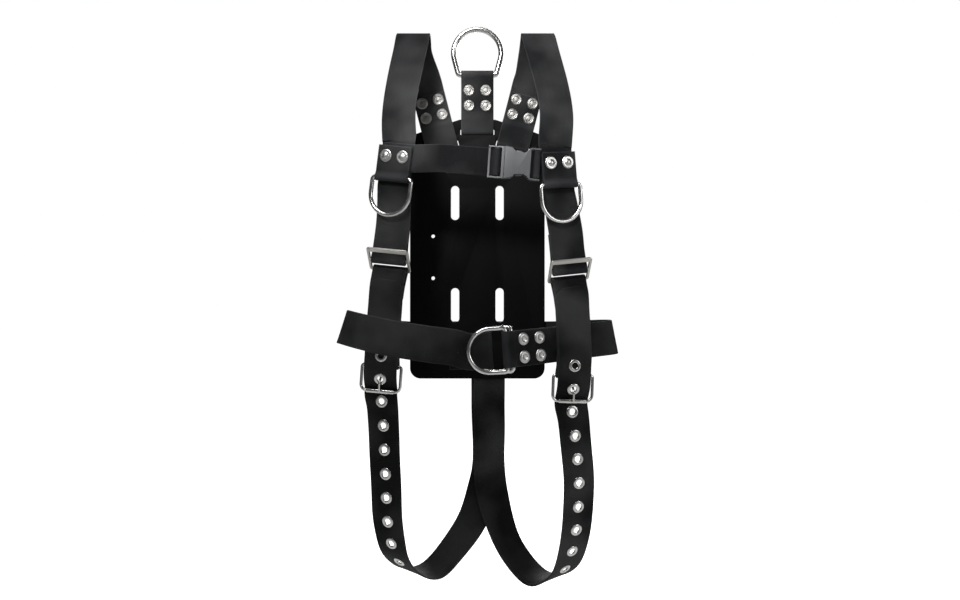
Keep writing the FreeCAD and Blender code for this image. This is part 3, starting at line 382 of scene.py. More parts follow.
def belt_right_route():
    start = upright(Matrix(), [(0.3, BELT_Y, BELT_Z), (92, BELT_Y, BELT_Z)])
    near = LAYER / 2
    doubled = doubled_frame()
    front = upright(doubled, [(x, -near) for x in (25, 23, -22.3, -24)])
    wrap = RING_WIRE + WRAP_GAP + CAD_HALF
    beside = WAIST_BAR_PITCH + 1.5
    loop = [(beside, -wrap)] + arc(0, 0, wrap, 270, 90) + [(beside, wrap)]
    back = upright(doubled, [(x, near) for x in (-24, -22.3, 27)])
    path = start[:1] + smooth(start[1:] + RIGHT_BELT + front[:1], 8)
    return path + front[1:] + upright(belt_frame(), loop) + back


# ==== webbing ====
WAVE = 1.1                    # how far slack webbing strays from its route
WAVE_LENGTH = 62.0
FINE_STEP = 0.8
CALM_RADIUS = 22.0            # round hardware, within which the webbing keeps to its route
CALM_FADE = 45.0
RIVET_PRESS = 0.16            # how deep a rivet head squeezes each face
RIVET_PRESS_REACH = 12.0
GROMMET_PRESS = 0.38
GROMMET_PRESS_REACH = 11.5
LEG_TIP = 14.0                # corner radius at the tips of the leg straps
LEG_HOLE_RADIUS = 6.3
PRONG_WINDOW_RADIUS = 5.2
WAVE_SEED = 11                # so that the waves are the same in each run
noise.seed_set(WAVE_SEED)


def rivet_axes():
    """Every rivet as (point, direction) of its axis."""
    found = []

    def add(base, spots):
        turn = base.to_3x3()
        for x, z in spots:
            found.append((base @ Vector((x, 0, z)), turn @ Y_AXIS))

    add(Matrix(), LIFT_RIVET_SPOTS + BELT_RIVET_SPOTS)
    add(doubled_frame(), grid(*BELT_LOOP_RIVETS))
    for side in SIDES:
        add(shoulder_frame(side), grid(*SHOULDER_RIVETS))
        add(tab_frame(side), TAB_RIVET_SPOTS)
    return found


RIVET_AXES = rivet_axes()
HELD = [(Matrix(), (0, 0, LIFT_BAR_Z)), (Matrix(), (0, 0, -150)), (Matrix(), (16, 8, -442)),
        (Matrix(), (16, 8, -500)), (chest_frame(), (-30, 0, 0)), (chest_frame(), (30, 0, 0)),
        (waist_frame(), (0, 4, 0)), (waist_frame(), (-30, 10, 0))]
for side in SIDES:
    HELD += [(tab_frame(side), TAB_BAR), (slider_frame(side), (0, 0, 0)),
             (leg_buckle_frame(side), (0, 0, 0)), (leg_buckle_frame(side), (0, 0, -36)),
             (shoulder_frame(side), (0, 0, -60))]
CALM_SPOTS = [p for p, _ in RIVET_AXES] + [base @ Vector(p) for base, p in HELD]


def calmness(point):
    """0 where hardware holds the webbing, 1 where it is free."""
    nearest = min((point - spot).length for spot in CALM_SPOTS)
    t = min(max((nearest - CALM_RADIUS) / CALM_FADE, 0.0), 1.0)
    return t * t * (3 - 2 * t)


def strayed(point):
    free = calmness(point)
    if free == 0:
        return point
    return point + noise.noise_vector(point / WAVE_LENGTH) * (WAVE * free)


def resampled(path, step):
    centres = [p[0] for p in path]
    lengths = [0.0]
    for a, b in zip(centres, centres[1:]):
        lengths.append(lengths[-1] + (b - a).length)
    count = max(2, int(round(lengths[-1] / step)))
    result = []
    k = 0
    for i in range(count + 1):
        d = lengths[-1] * i / count
        while k < len(path) - 2 and lengths[k + 1] < d:
            k += 1
        span = lengths[k + 1] - lengths[k]
        t = (d - lengths[k]) / span if span > 1e-9 else 0.0
        across = path[k][1].lerp(path[k + 1][1], t).normalized()
        result.append((path[k][0].lerp(path[k + 1][0], t), across))
    return result


def softened(path, rounds):
    """Rounds the corners between straight facets; the ends stay."""
    for _ in range(rounds):
        inner = []
        for a, b, c in zip(path, path[1:], path[2:]):
            across = (a[1] + b[1] * 2 + c[1]).normalized()
            inner.append(((a[0] + b[0] * 2 + c[0]) * 0.25, across))
        path = path[:1] + inner + path[-1:]
    return path


EDGE = [(0.0, 0.34), (0.3, 0.78), (0.9, 1.04), (1.7, 1.1), (2.8, 1.0)]   # inset, share of thickness


class Strap:
    """A strap as a surface with coordinates: v along it and u across it, in millimetres."""

    def __init__(self, route, width, tip=0.0):
        path = softened(resampled(route, FINE_STEP), 7)
        path = [(strayed(c), a) for c, a in path]
        path = resampled(path, ROW / 2)
        self.width = width
        self.tip = tip
        self.centre = np.array([c for c, _ in path])
        along = np.gradient(self.centre, axis=0)
        along /= np.linalg.norm(along, axis=1)[:, None]
        normal = np.cross(along, np.array([a for _, a in path]))
        normal /= np.linalg.norm(normal, axis=1)[:, None]
        self.along = along
        self.normal = normal
        self.side = np.cross(normal, along)
        steps = np.linalg.norm(np.diff(self.centre, axis=0), axis=1)
        self.v = np.concatenate([[0.0], np.cumsum(steps)])
        self.length = self.v[-1]
        turn = np.linalg.norm(np.gradient(along, axis=0), axis=1) / np.gradient(self.v)
        kernel = np.hanning(9) / np.hanning(9).sum()
        self.bend = np.convolve(turn, kernel, mode="same")

    def at(self, table, v):
        return np.stack([np.interp(v, self.v, table[:, k]) for k in range(3)], axis=-1)

    def half_width(self, v):
        half = np.full_like(v, self.width / 2)
        if self.tip > 0:
            s = np.clip(v, 0.02 * self.tip, self.tip)
            half = half - self.tip + np.sqrt(self.tip ** 2 - (self.tip - s) ** 2)
        return half

    def nearest_v(self, point):
        return self.v[np.argmin(np.linalg.norm(self.centre - np.array(point), axis=1))]

    def frame_at(self, v):
        """Working frame on the strap: X across, Y through, Z up the strap."""
        v = np.array([v])
        side, through = self.at(self.side, v)[0], self.at(self.normal, v)[0]
        along, centre = self.at(self.along, v)[0], self.at(self.centre, v)[0]
        rows = [(side[k], -through[k], along[k], centre[k]) for k in range(3)]
        return Matrix((*rows, (0, 0, 0, 1)))

    def point(self, v, u, lift):
        """Point at (v, u), lifted from the middle plane along the strap's normal."""
        v = np.array([v])
        p = self.at(self.centre, v) + self.at(self.side, v) * u + self.at(self.normal, v) * lift
        return Vector(p[0])

    def mesh(self, name, holes=(), hole_radius=0.0, ripple=0.0):
        """Closed mesh; holes are places v on the centre line."""
        half_w = self.width / 2
        inner = half_w - EDGE[-1][0]
        count = int(round(2 * inner / COLUMN))
        insets, shares = (list(values) for values in zip(*EDGE[:-1]))
        us = [-half_w + e for e in insets] + list(np.linspace(-inner, inner, count + 1))
        us += [half_w - e for e in insets[::-1]]
        share = shares + [1.0] * (count + 1) + shares[::-1]
        n_u = len(us)
        n_v = int(round(self.length / ROW)) + 1
        tail = np.array([0.0, 0.35, 1.0])
        lead = self.tip * np.array([0, .03, .1, .2, .35, .55, .8]) if self.tip else tail
        middle = np.linspace(lead[-1] + 1.4, self.length - tail[-1] - 1.4, n_v)
        vs = np.concatenate([lead, middle, self.length - tail[::-1]])
        n_v = len(vs)
        V, U = np.meshgrid(vs, us, indexing="ij")
        cell_v = (V[1:, 1:] + V[:-1, :-1]) / 2
        cell_u = (U[1:, 1:] + U[:-1, :-1]) / 2
        gone = np.zeros(cell_v.shape, bool)
        for hole in holes:
            near = np.hypot(cell_v - hole, cell_u) < hole_radius
            gone |= near
            removed = np.zeros(V.shape, bool)
            kept = np.zeros(V.shape, bool)
            for di in (0, 1):
                for dj in (0, 1):
                    removed[di:n_v - 1 + di, dj:n_u - 1 + dj] |= near
                    kept[di:n_v - 1 + di, dj:n_u - 1 + dj] |= ~near
            rim = removed & kept
            r = np.maximum(np.hypot(V - hole, U), 1e-6)
            V = np.where(rim, hole + (V - hole) * hole_radius / r, V)
            U = np.where(rim, U * hole_radius / r, U)
        narrow = self.half_width(V) / half_w
        normal = self.at(self.normal, V)
        middle_face = self.at(self.centre, V) + self.at(self.side, V) * (U * narrow)[..., None]
        thick = np.array(share)[None, :] * np.ones_like(V)
        at_end = np.clip(np.minimum(V, self.length - V), 0, 1)
        thick = thick * (0.62 + 0.38 * at_end) * (WEBBING / 2)
        for p, d in RIVET_AXES:
            offset = middle_face - np.array(p)
            axial = offset @ np.array(d)
            radial = np.linalg.norm(offset - axial[..., None] * np.array(d), axis=-1)
            press = np.clip((RIVET_PRESS_REACH - radial) / 4.5, 0, 1)
            depth = RIVET_PRESS * press * press * (3 - 2 * press)
            thick = thick - np.where(abs(axial) < RIVET_PRESS_REACH, depth, 0)
        for hole in holes:
            press = np.clip((GROMMET_PRESS_REACH - np.hypot(V - hole, U)) / 3.0, 0, 1)
            thick = thick - GROMMET_PRESS * press * press * (3 - 2 * press)
        if ripple:
            wave = np.sin(V * 0.62 + 1.3 * np.sin(U * 0.11)) * np.sin(V * 0.17 + 0.8)
            middle_face = middle_face + normal * (ripple * wave)[..., None]
        top = middle_face + normal * thick[..., None]
        bottom = middle_face - normal * thick[..., None]
        size = n_v * n_u
        verts = np.concatenate([top.reshape(-1, 3), bottom.reshape(-1, 3)]) * MM

        def t(i, j):
            return i * n_u + j

        def b(i, j):
            return size + i * n_u + j

        faces = []
        for i in range(n_v - 1):
            for j in range(n_u - 1):
                if gone[i, j]:
                    continue
                faces.append((t(i, j), t(i, j + 1), t(i + 1, j + 1), t(i + 1, j)))
                faces.append((b(i, j), b(i + 1, j), b(i + 1, j + 1), b(i, j + 1)))
                if i == 0 or gone[i - 1, j]:
                    faces.append((t(i, j), b(i, j), b(i, j + 1), t(i, j + 1)))
                if i == n_v - 2 or gone[i + 1, j]:
                    faces.append((t(i + 1, j + 1), b(i + 1, j + 1), b(i + 1, j), t(i + 1, j)))
                if j == 0 or gone[i, j - 1]:
                    faces.append((t(i + 1, j), b(i + 1, j), b(i, j), t(i, j)))
                if j == n_u - 2 or gone[i, j + 1]:
                    faces.append((t(i, j + 1), b(i, j + 1), b(i + 1, j + 1), t(i + 1, j + 1)))
        used = sorted({k for f in faces for k in f})
        renumber = {old: new for new, old in enumerate(used)}
        faces = [tuple(renumber[k] for k in f) for f in faces]
        data = bpy.data.meshes.new(name)
        data.from_pydata([tuple(verts[k]) for k in used], [], faces)
        data.update()
        data.shade_smooth()
        flat_u = np.concatenate([U.ravel(), U.ravel()])[used]
        flat_v = np.concatenate([V.ravel(), V.ravel()])[used]
        loops = np.zeros(len(data.loops), int)
        data.loops.foreach_get("vertex_index", loops)
        uv = data.uv_layers.new(name="UVMap")
        uv.data.foreach_set("uv", np.stack([flat_u[loops], flat_v[loops]], 1).ravel() * 0.1)
        rim = np.clip(1 - (half_w - abs(flat_u)) / 1.5, 0, 1)
        rim = np.maximum(rim, np.clip(1 - np.minimum(flat_v, self.length - flat_v) / 1.5, 0, 1))
        # fold: lighter where the strap bends round a bar; partly wear, partly a painted highlight on
        # the fold
        fold = np.clip(np.interp(flat_v, self.v, self.bend) / 0.12 - 0.35, 0, 1)
        for key, values in (("rim", rim), ("fold", fold)):
            layer = data.attributes.new(key, "FLOAT", "POINT")
            layer.data.foreach_set("value", values.astype(np.float32))
        return link(name, data)


def link(name, data):
    obj = bpy.data.objects.new(name, data)
    bpy.context.scene.collection.objects.link(obj)
    return obj


# ==== materials ====
def new_material(name):
    material = bpy.data.materials.new(name)
    material.use_nodes = True
    tree = material.node_tree
    shader = tree.nodes["Principled BSDF"]
    return material, tree, shader


def feed(tree, made, inputs):
    """Links or sets inputs of a node, given by name or index."""
    for key, value in inputs.items():
        if isinstance(value, bpy.types.NodeSocket):
            tree.links.new(value, made.inputs[key])
        else:
            made.inputs[key].default_value = value


def node(tree, kind, **inputs):
    """A new node; an input with a number for its name is written i0, i1 and so on."""
    made = tree.nodes.new("ShaderNode" + kind)
    for key, value in inputs.items():
        if key in ("operation", "attribute_name", "uv_map"):
            setattr(made, key, value)
        else:
            feed(tree, made, {int(key[1:]) if key[1:].isdigit() else key: value})
    return made


def maths(tree, operation, a, b=0.0, c=0.0):
    return node(tree, "Math", operation=operation, i0=a, i1=b, i2=c).outputs[0]


def ramp(tree, value, start, end, top):
    """Grey that climbs from 0 at start to top at end."""
    made = tree.nodes.new("ShaderNodeValToRGB")
    tree.links.new(value, made.inputs[0])
    for element, position, level in zip(made.color_ramp.elements, (start, end), (0.0, top)):
        element.position = position
        element.color = (level, level, level, 1)
    return made.outputs[0]


def shade(colour, factor):
    return (*[c * factor for c in colour], 1)


def mixed(tree, factor, a, b):
    made = tree.nodes.new("ShaderNodeMix")
    made.data_type = "RGBA"
    feed(tree, made, {0: factor, 6: a, 7: b})
    return made.outputs[2]


def scattered(tree, vector, scale, detail=3.0, roughness=0.55):
    return node(tree, "TexNoise", Vector=vector, Scale=scale, Detail=detail,
                Roughness=roughness).outputs["Fac"]


def bumped(tree, shader, height, distance, strength):
    made = node(tree, "Bump", Strength=strength, Distance=distance, Height=height)
    feed(tree, shader, {"Normal": made.outputs[0]})


def webbing_material(name, base, light, yarn=1.35, pick=1.9):
    """Close-woven webbing: warp yarns along the strap, crossed in a herringbone by the weft."""
    material, tree, shader = new_material(name)
    split = node(tree, "SeparateXYZ", Vector=node(tree, "UVMap", uv_map="UVMap").outputs[0])
    u = maths(tree, "MULTIPLY", split.outputs[0], 10.0)
    v = maths(tree, "MULTIPLY", split.outputs[1], 10.0)
    bundle = maths(tree, "PINGPONG", u, 4.1)
    column = maths(tree, "DIVIDE", u, yarn)
    cell = maths(tree, "FLOOR", column)
    odd = maths(tree, "MULTIPLY", maths(tree, "MODULO", cell, 2.0), math.pi)
    ridge = maths(tree, "ABSOLUTE", maths(tree, "SINE", maths(tree, "MULTIPLY", column, math.pi)))
    slant = maths(tree, "MULTIPLY_ADD", bundle, 0.55, v)
    phase = maths(tree, "ADD", maths(tree, "MULTIPLY", slant, 2 * math.pi / pick), odd)
    weft = maths(tree, "MULTIPLY_ADD", maths(tree, "SINE", phase), 0.32, 0.62)
    height = maths(tree, "MULTIPLY", maths(tree, "POWER", ridge, 0.6), weft)
    place = node(tree, "TexCoord").outputs["Object"]
    fuzz = scattered(tree, place, 900.0, 4.0, 0.7)
    tone = scattered(tree, place, 26.0, 4.0, 0.6)
    lint = scattered(tree, place, 420.0, 2.0, 0.5)
    rim = node(tree, "Attribute", attribute_name="rim").outputs["Fac"]
    fold = node(tree, "Attribute", attribute_name="fold").outputs["Fac"]
    body = mixed(tree, height, shade(base, 0.45), shade(base, 1.25))
    body = mixed(tree, ramp(tree, tone, 0.35, 0.7, 0.32), body, shade(light, 1))
    # Lighter edges and strap ends are wear; lighter folds are partly wear and partly a painted
    # highlight
    rubbed = maths(tree, "MAXIMUM", maths(tree, "MULTIPLY", rim, 0.62),
                   maths(tree, "MULTIPLY", fold, 0.4))
    wear_and_fold_highlight = maths(tree, "MULTIPLY", rubbed, maths(tree, "MULTIPLY_ADD", fuzz, 0.8, 0.55))
    body = mixed(tree, wear_and_fold_highlight, body, shade(light, 2.3))
    body = mixed(tree, ramp(tree, lint, 0.70, 0.80, 0.55), body, shade(light, 4))
    rough = maths(tree, "MULTIPLY_ADD", tone, 0.2, 0.66)
    patch = scattered(tree, place, 11.0, 2.0, 0.5)
    polish = node(tree, "MapRange", i0=patch, i1=0.4, i2=0.64, i3=0.12, i4=0.75).outputs[0]
    feed(tree, shader, {"Base Color": body, "Roughness": rough, "Specular IOR Level": polish,
                        "Sheen Weight": 0.02, "Sheen Roughness": 0.45})
    relief = maths(tree, "MULTIPLY_ADD", fuzz, 0.35, height)
    bumped(tree, shader, relief, 0.00042, 0.9)
    return material


def metal_material(name, colour, low, high, scratch, grain):
    """Polished metal with handling marks: streaks, cloudy patches and fine pits."""
    material, tree, shader = new_material(name)
    place = node(tree, "TexCoord").outputs["Object"]
    cloud = scattered(tree, place, 55.0, 4.0, 0.6)
    stretched = node(tree, "Mapping", Vector=place, Scale=(260.0, 260.0, 2400.0),
                     Rotation=(0.5, 0.9, 0.3)).outputs[0]
    streak = scattered(tree, stretched, 1.0, 3.0, 0.6)
    pits = scattered(tree, place, 1500.0, 2.0, 0.6)
    rough = node(tree, "MapRange", i0=cloud, i1=0.3, i2=0.7, i3=low, i4=high).outputs[0]
    rough = maths(tree, "MULTIPLY_ADD", streak, 0.12 * scratch, rough)
    tint = mixed(tree, ramp(tree, cloud, 0.3, 0.75, 1.0), shade(colour, 1), shade(colour, 0.86))
    tint = mixed(tree, ramp(tree, pits, 0.66, 0.8, 0.5), tint, shade(colour, 0.45))
    feed(tree, shader, {"Base Color": tint, "Roughness": rough, "Metallic": 1.0})
    bumped(tree, shader, maths(tree, "MULTIPLY_ADD", streak, scratch, cloud), grain, 0.7)
    return material


def plastic_material(name, colour, spread, low, high, grain_scale, grain, gloss=0.4):
    """Moulded or coated surface: fine grain, uneven tone and rubbed places."""
    material, tree, shader = new_material(name)
    place = node(tree, "TexCoord").outputs["Object"]
    tone = scattered(tree, place, 14.0, 5.0, 0.65)
    fine = scattered(tree, place, grain_scale, 3.0, 0.6)
    stretched = node(tree, "Mapping", Vector=place, Scale=(900.0, 900.0, 34.0),
                     Rotation=(0.0, 0.35, 0.0)).outputs[0]
    scuff = scattered(tree, stretched, 1.0, 2.0, 0.5)
    base = mixed(tree, ramp(tree, tone, 0.3, 0.72, 1.0), shade(colour, 1 - spread),
                 shade(colour, 1 + spread))
    pale = (*[c * 1.9 + 0.004 for c in colour], 1)
    base = mixed(tree, ramp(tree, scuff, 0.66, 0.78, 0.35), base, pale)
    rough = node(tree, "MapRange", i0=tone, i1=0.3, i2=0.7, i3=low, i4=high).outputs[0]
    rough = maths(tree, "MULTIPLY_ADD", scuff, 0.1, rough)
    feed(tree, shader, {"Base Color": base, "Roughness": rough, "Specular IOR Level": gloss})
    bumped(tree, shader, fine, grain, 0.8)
    return material


WEB = webbing_material("black webbing", (0.0076, 0.0079, 0.0087), (0.017, 0.0175, 0.0194))
LEG_WEB = webbing_material("black leg webbing", (0.0066, 0.0069, 0.0075),
                           (0.0145, 0.015, 0.0165), 1.25, 2.1)
CHEST_WEB = webbing_material("black chest webbing", (0.007, 0.0073, 0.0081),
                             (0.0155, 0.016, 0.0177), 1.1, 1.6)
THREAD = plastic_material("black bonded thread", (0.03, 0.03, 0.033), 0.2, 0.45, 0.6, 900.0, 0.00008)
STEEL = metal_material("polished steel wire", (0.78, 0.775, 0.76), 0.10, 0.24, 0.5, 0.000008)
SLIDER_STEEL = metal_material("slider steel", (0.62, 0.605, 0.57), 0.24, 0.42, 0.8, 0.00002)
NICKEL = metal_material("rivet nickel", (0.62, 0.615, 0.60), 0.2, 0.4, 0.8, 0.00002)
AGED_NICKEL = metal_material("aged rivet nickel", (0.36, 0.355, 0.34), 0.26, 0.46, 0.9, 0.000025)
GROMMET_NICKEL = metal_material("grommet nickel", (0.74, 0.735, 0.715), 0.14, 0.3, 0.6, 0.000015)
PLATE = plastic_material("plate coating", (0.0012, 0.0012, 0.0015), 0.2, 0.46, 0.6, 1100.0,
                         0.00005, 0.08)
GREY_PLASTIC = plastic_material("grey housing", (0.10, 0.102, 0.107), 0.1, 0.42, 0.55, 1700.0, 0.00005)
TONGUE_PLASTIC = plastic_material("grey tongue", (0.135, 0.137, 0.142), 0.1, 0.4, 0.52, 1700.0, 0.00005)


# ==== placing pieces ====
def finish_piece(obj, material, body, slot_name, *replaced):
    """Gives a piece its material and body and hides the CAD nodes that it replaces; a blended piece has
    no body. slot_name is not used.
    """
    obj.data.materials.append(material)
    if replaced:
        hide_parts(*replaced)
    if body:
        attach(obj, body)
    return obj


# ==== straps ====
straps = {}


def strap_piece(name, cad_node, route, width, material=WEB, body="harness", **options):
    straps[name] = Strap(route, width)
    return finish_piece(straps[name].mesh(name, **options), material, body, "webbing", cad_node)


strap_piece("lift_webbing", "lift_strap", lift_route(), STRAP_WIDTH)
for side in SIDES:
    end = side.name
    strap_piece("shoulder_webbing_" + end, "shoulder_strap_" + end, shoulder_route(side), STRAP_WIDTH)
    strap_piece("tab_webbing_" + end, "chest_tab_" + end, tab_route(side), STRAP_WIDTH + 1)
    lower = lower_route(side)
    fold = leg_buckle_frame(side) @ Vector((0, 0, LOWER_LAYER))
    window = Strap(lower, STRAP_WIDTH).nearest_v(fold)
    strap_piece("lower_webbing_" + end, "lower_strap_" + end, lower, STRAP_WIDTH, holes=[window],
                hole_radius=PRONG_WINDOW_RADIUS)
strap_piece("belt_webbing_left", "waist_belt_left", belt_left_route(), STRAP_WIDTH)
strap_piece("belt_webbing_right", "waist_belt_right", belt_right_route(), STRAP_WIDTH)
strap_piece("chest_webbing_right", "chest_strap_right", chest_right_route(), CHEST_STRAP_WIDTH,
            CHEST_WEB)
chest_left = strap_piece("chest_webbing_left", "chest_strap_left", chest_left_route(),
                         CHEST_STRAP_WIDTH, CHEST_WEB, body=None, ripple=0.35)
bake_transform(chest_left)


def along_route(route, start, distance):
    """Point on the route, at a distance past (or before, if negative) the station at start."""
    first = min(range(len(route)), key=lambda i: (route[i][0] - start).length)
    left = abs(distance)
    ahead = zip(route[first:], route[first + 1:])
    behind = zip(reversed(route[:first + 1]), reversed(route[:first]))
    for (a, _), (b, _) in (ahead if distance >= 0 else behind):
        length = (b - a).length
        if left <= length:
            return a.lerp(b, left / length)
        left -= length
    return route[-1][0]


grommet_places = {}
for side in SIDES:
    route = leg_route(side)
    strap = Strap(route, LEG_STRAP_WIDTH, LEG_TIP)
    pierced = buckled_run(side)[1][0]
    distances = [1 - GROMMET_PITCH] + [GROMMET_PITCH * k for k in range(GROMMETS_BELOW_BUCKLE + 1)]
    holes = [strap.nearest_v(along_route(route, pierced, d)) for d in distances]
    name = "leg_webbing_" + side.name
    straps[name] = strap
    obj = strap.mesh(name, holes, LEG_HOLE_RADIUS)
    finish_piece(obj, LEG_WEB, "harness", "webbing", "leg_strap_" + side.name)
    grommet_places[side.name] = [strap.frame_at(v) for v in holes]


# ==== turned and drawn metal ====
def turned(outline, segments=40):
    """Vertices and faces of a turned part about local Y, from a closed outline (radius, y)."""
    verts, faces, rings = [], [], []
    for r, y in outline:
        if r < 1e-6:
            rings.append([len(verts)])
            verts.append(Vector((0, y, 0)))
            continue
        rings.append(list(range(len(verts), len(verts) + segments)))
        for k in range(segments):
            a = 2 * math.pi * k / segments
            verts.append(Vector((r * math.cos(a), y, r * math.sin(a))))
    for low, high in zip(rings, rings[1:] + rings[:1]):
        for k in range(segments):
            m = (k + 1) % segments
            corners = [ring[i % len(ring)] for ring, i in ((low, k), (low, m), (high, m), (high, k))]
            unique = tuple(dict.fromkeys(corners))
            if len(unique) >= 3:
                faces.append(unique)
    return verts, faces


def gathered(name, parts):
    """One mesh from several (vertices, faces, frame) parts."""
    verts, faces = [], []
    for part_verts, part_faces, base in parts:
        start = len(verts)
        verts += [base @ v for v in part_verts]
        faces += [tuple(start + k for k in f) for f in part_faces]
    data = bpy.data.meshes.new(name)
    data.from_pydata([tuple(v * MM) for v in verts], [], faces)
    data.update()
    data.shade_smooth()
    shape = bmesh.new()
    shape.from_mesh(data)
    bmesh.ops.recalc_face_normals(shape, faces=shape.faces)
    shape.to_mesh(data)
    shape.free()
    return link(name, data)


def rounded(outline, radius, steps=3):
    """The outline with each corner cut by a short curve; corners on the axis stay."""
    result = []
    count = len(outline)
    for i, corner in enumerate(outline):
        before = Vector(outline[i - 1])
        here = Vector(corner)
        after = Vector(outline[(i + 1) % count])
        reach = min(radius, (before - here).length * 0.45, (after - here).length * 0.45)
        if here.x < 1e-6 or reach < 0.02:
            result.append(tuple(here))
            continue
        a = here + (before - here).normalized() * reach
        b = here + (after - here).normalized() * reach
        for k in range(steps + 1):
            t = k / steps
            result.append(tuple(a * (1 - t) ** 2 + here * (2 * t * (1 - t)) + b * t ** 2))
    return result


HEADS = {                     # (radius, height over the front face), from the middle outwards
    "domed": [(0, -3.2), (1.6, -3.05), (3.0, -2.6), (4.2, -1.75), (4.9, -1.1), (5.6, -1.15),
              (7.4, -1.25), (8.2, -0.95)],
    "ringed": [(0, -1.3), (2.6, -1.35), (3.1, -0.75), (4.4, -0.7), (4.9, -1.65), (5.6, -1.75),
               (6.1, -1.4), (6.6, -1.45), (7.1, -1.7), (7.9, -1.3)],
    "dimpled": [(0, -0.45), (2.2, -0.5), (3.2, -0.8), (3.9, -1.85), (4.8, -2.05), (6.2, -1.95),
                (8.0, -1.3)],
}


STACK_FACE = LAYER / 2 + WEBBING / 2


def rivet_piece(name, cad_node, base, spots, head, material=NICKEL, front=-STACK_FACE,
                back=STACK_FACE):
    """Rivets through base's local Y; front and back are the faces that they squeeze."""
    outline = [(r, front + y) for r, y in HEADS[head]]
    outline += [(HEAD_RADIUS, front - 0.45), (HEAD_RADIUS, front + 0.12), (SHANK_RADIUS, front + 0.12)]
    outline += [(SHANK_RADIUS, back - 0.12), (HEAD_RADIUS, back - 0.12), (HEAD_RADIUS, back + 0.45)]
    outline += [(8.1, back + 1.0), (4.5, back + 1.2), (3.5, back + 0.7), (0, back + 0.7)]
    verts, faces = turned(rounded(outline, 0.35))
    parts = [(verts, faces, base @ Matrix.Translation((x, 0, z))) for x, z in spots]
    finish_piece(gathered(name, parts), material, "harness", "rivets", cad_node)


rivet_piece("lift_rivet_heads", "lift_strap_rivets", Matrix(), LIFT_RIVET_SPOTS, "ringed",
            AGED_NICKEL)
rivet_piece("belt_loop_rivet_heads", "belt_loop_rivets", doubled_frame(),
            grid(*BELT_LOOP_RIVETS), "dimpled")
rivet_piece("belt_plate_rivet_heads", "belt_plate_rivets", Matrix(), BELT_RIVET_SPOTS, "ringed",
            AGED_NICKEL, -PLATE_THICKNESS / 2, BELT_Y + WEBBING / 2)
for side in SIDES:
    rivet_piece("shoulder_rivet_heads_" + side.name, "shoulder_rivets_" + side.name,
                shoulder_frame(side), grid(*SHOULDER_RIVETS), "ringed", AGED_NICKEL)
    rivet_piece("tab_rivet_heads_" + side.name, "tab_rivets_" + side.name, tab_frame(side),
                TAB_RIVET_SPOTS, "domed", front=TAB_FRONT_LAYER - WEBBING / 2, back=WEBBING / 2)
    seat = WEBBING / 2 - GROMMET_SEAT
    face = seat + 0.9
    half = [(GROMMET_HOLE, face - 0.7), (GROMMET_HOLE + 0.25, face - 0.2),
            (GROMMET_HOLE + 0.9, face + 0.05), (6.4, face + 0.12), (7.6, face - 0.05),
            (8.5, seat + 0.25), (HEAD_RADIUS, seat - 0.1), (GROMMET_BARREL, seat - 0.1)]
    eyelet = [(r, -y) for r, y in half] + half[::-1]
    verts, faces = turned(rounded(eyelet, 0.3, 2), 36)
    parts = [(verts, faces, base) for base in grommet_places[side.name]]
    finish_piece(gathered("leg_eyelets_" + side.name, parts), GROMMET_NICKEL, "harness", "grommets",
                 "leg_grommets_" + side.name)


def tube(points, radii, closed, segments=24):
    """Vertices and faces of round wire along points; the ends of an open wire are closed with flat
    caps.
    """
    count = len(points)
    verts, faces, rings = [], [], []
    across = None
    for i, p in enumerate(points):
        after = points[(i + 1) % count] if closed or i < count - 1 else p
        before = points[i - 1] if closed or i > 0 else p
        along = (after - before).normalized()
        if across is None:
            across = along.orthogonal().normalized()
        across = (across - along * across.dot(along)).normalized()
        other = along.cross(across)
        radius = radii[i] if isinstance(radii, list) else radii
        ring = []
        for k in range(segments):
            a = 2 * math.pi * k / segments
            ring.append(len(verts))
            verts.append(p + (across * math.cos(a) + other * math.sin(a)) * radius)
        rings.append(ring)
    for low, high in zip(rings, rings[1:] + (rings[:1] if closed else [])):
        for k in range(segments):
            m = (k + 1) % segments
            faces.append((low[k], low[m], high[m], high[k]))
    if not closed:
        faces += [tuple(reversed(rings[0])), tuple(rings[-1])]
    return verts, faces


STITCH_PITCH = 3.6
STITCH_LENGTH = 2.5
STITCH_RADIUS = 0.42
STITCH_HALF_ROW = 21.0


def stitched(name, strap, rows):
    """Rows of thread on both faces of a strap; a row runs from (v, u) to (v, u)."""
    pieces = []
    for (v0, u0), (v1, u1) in rows:
        reach = math.hypot(v1 - v0, u1 - u0)
        count = max(1, int(reach / STITCH_PITCH))
        half = STITCH_LENGTH / 2 / reach
        for k in range(count):
            t = (k + 0.5) / count
            for face in (-1, 1):
                line = []
                for offset in (-half, -half * 0.55, half * 0.55, half):
                    v, u = v0 + (v1 - v0) * (t + offset), u0 + (u1 - u0) * (t + offset)
                    sunk = 0.22 if abs(offset) == half else 0.0
                    line.append(strap.point(v, u, face * (WEBBING / 2 + 0.12 - sunk)))
                thin = STITCH_RADIUS * 0.55
                thread = tube(line, [thin, STITCH_RADIUS, STITCH_RADIUS, thin], False, 8)
                pieces.append((*thread, Matrix()))
    finish_piece(gathered(name, pieces), THREAD, "harness", "webbing")


def bend_points(centre, start, end, steps):
    """Points on the circle about centre, from start to end by the short way."""
    a, b = start - centre, end - centre
    angle = a.angle(b)
    result = []
    for k in range(steps + 1):
        t = k / steps
        reach = (a * math.sin((1 - t) * angle) + b * math.sin(t * angle)) / math.sin(angle)
        result.append(centre + reach)
    return result


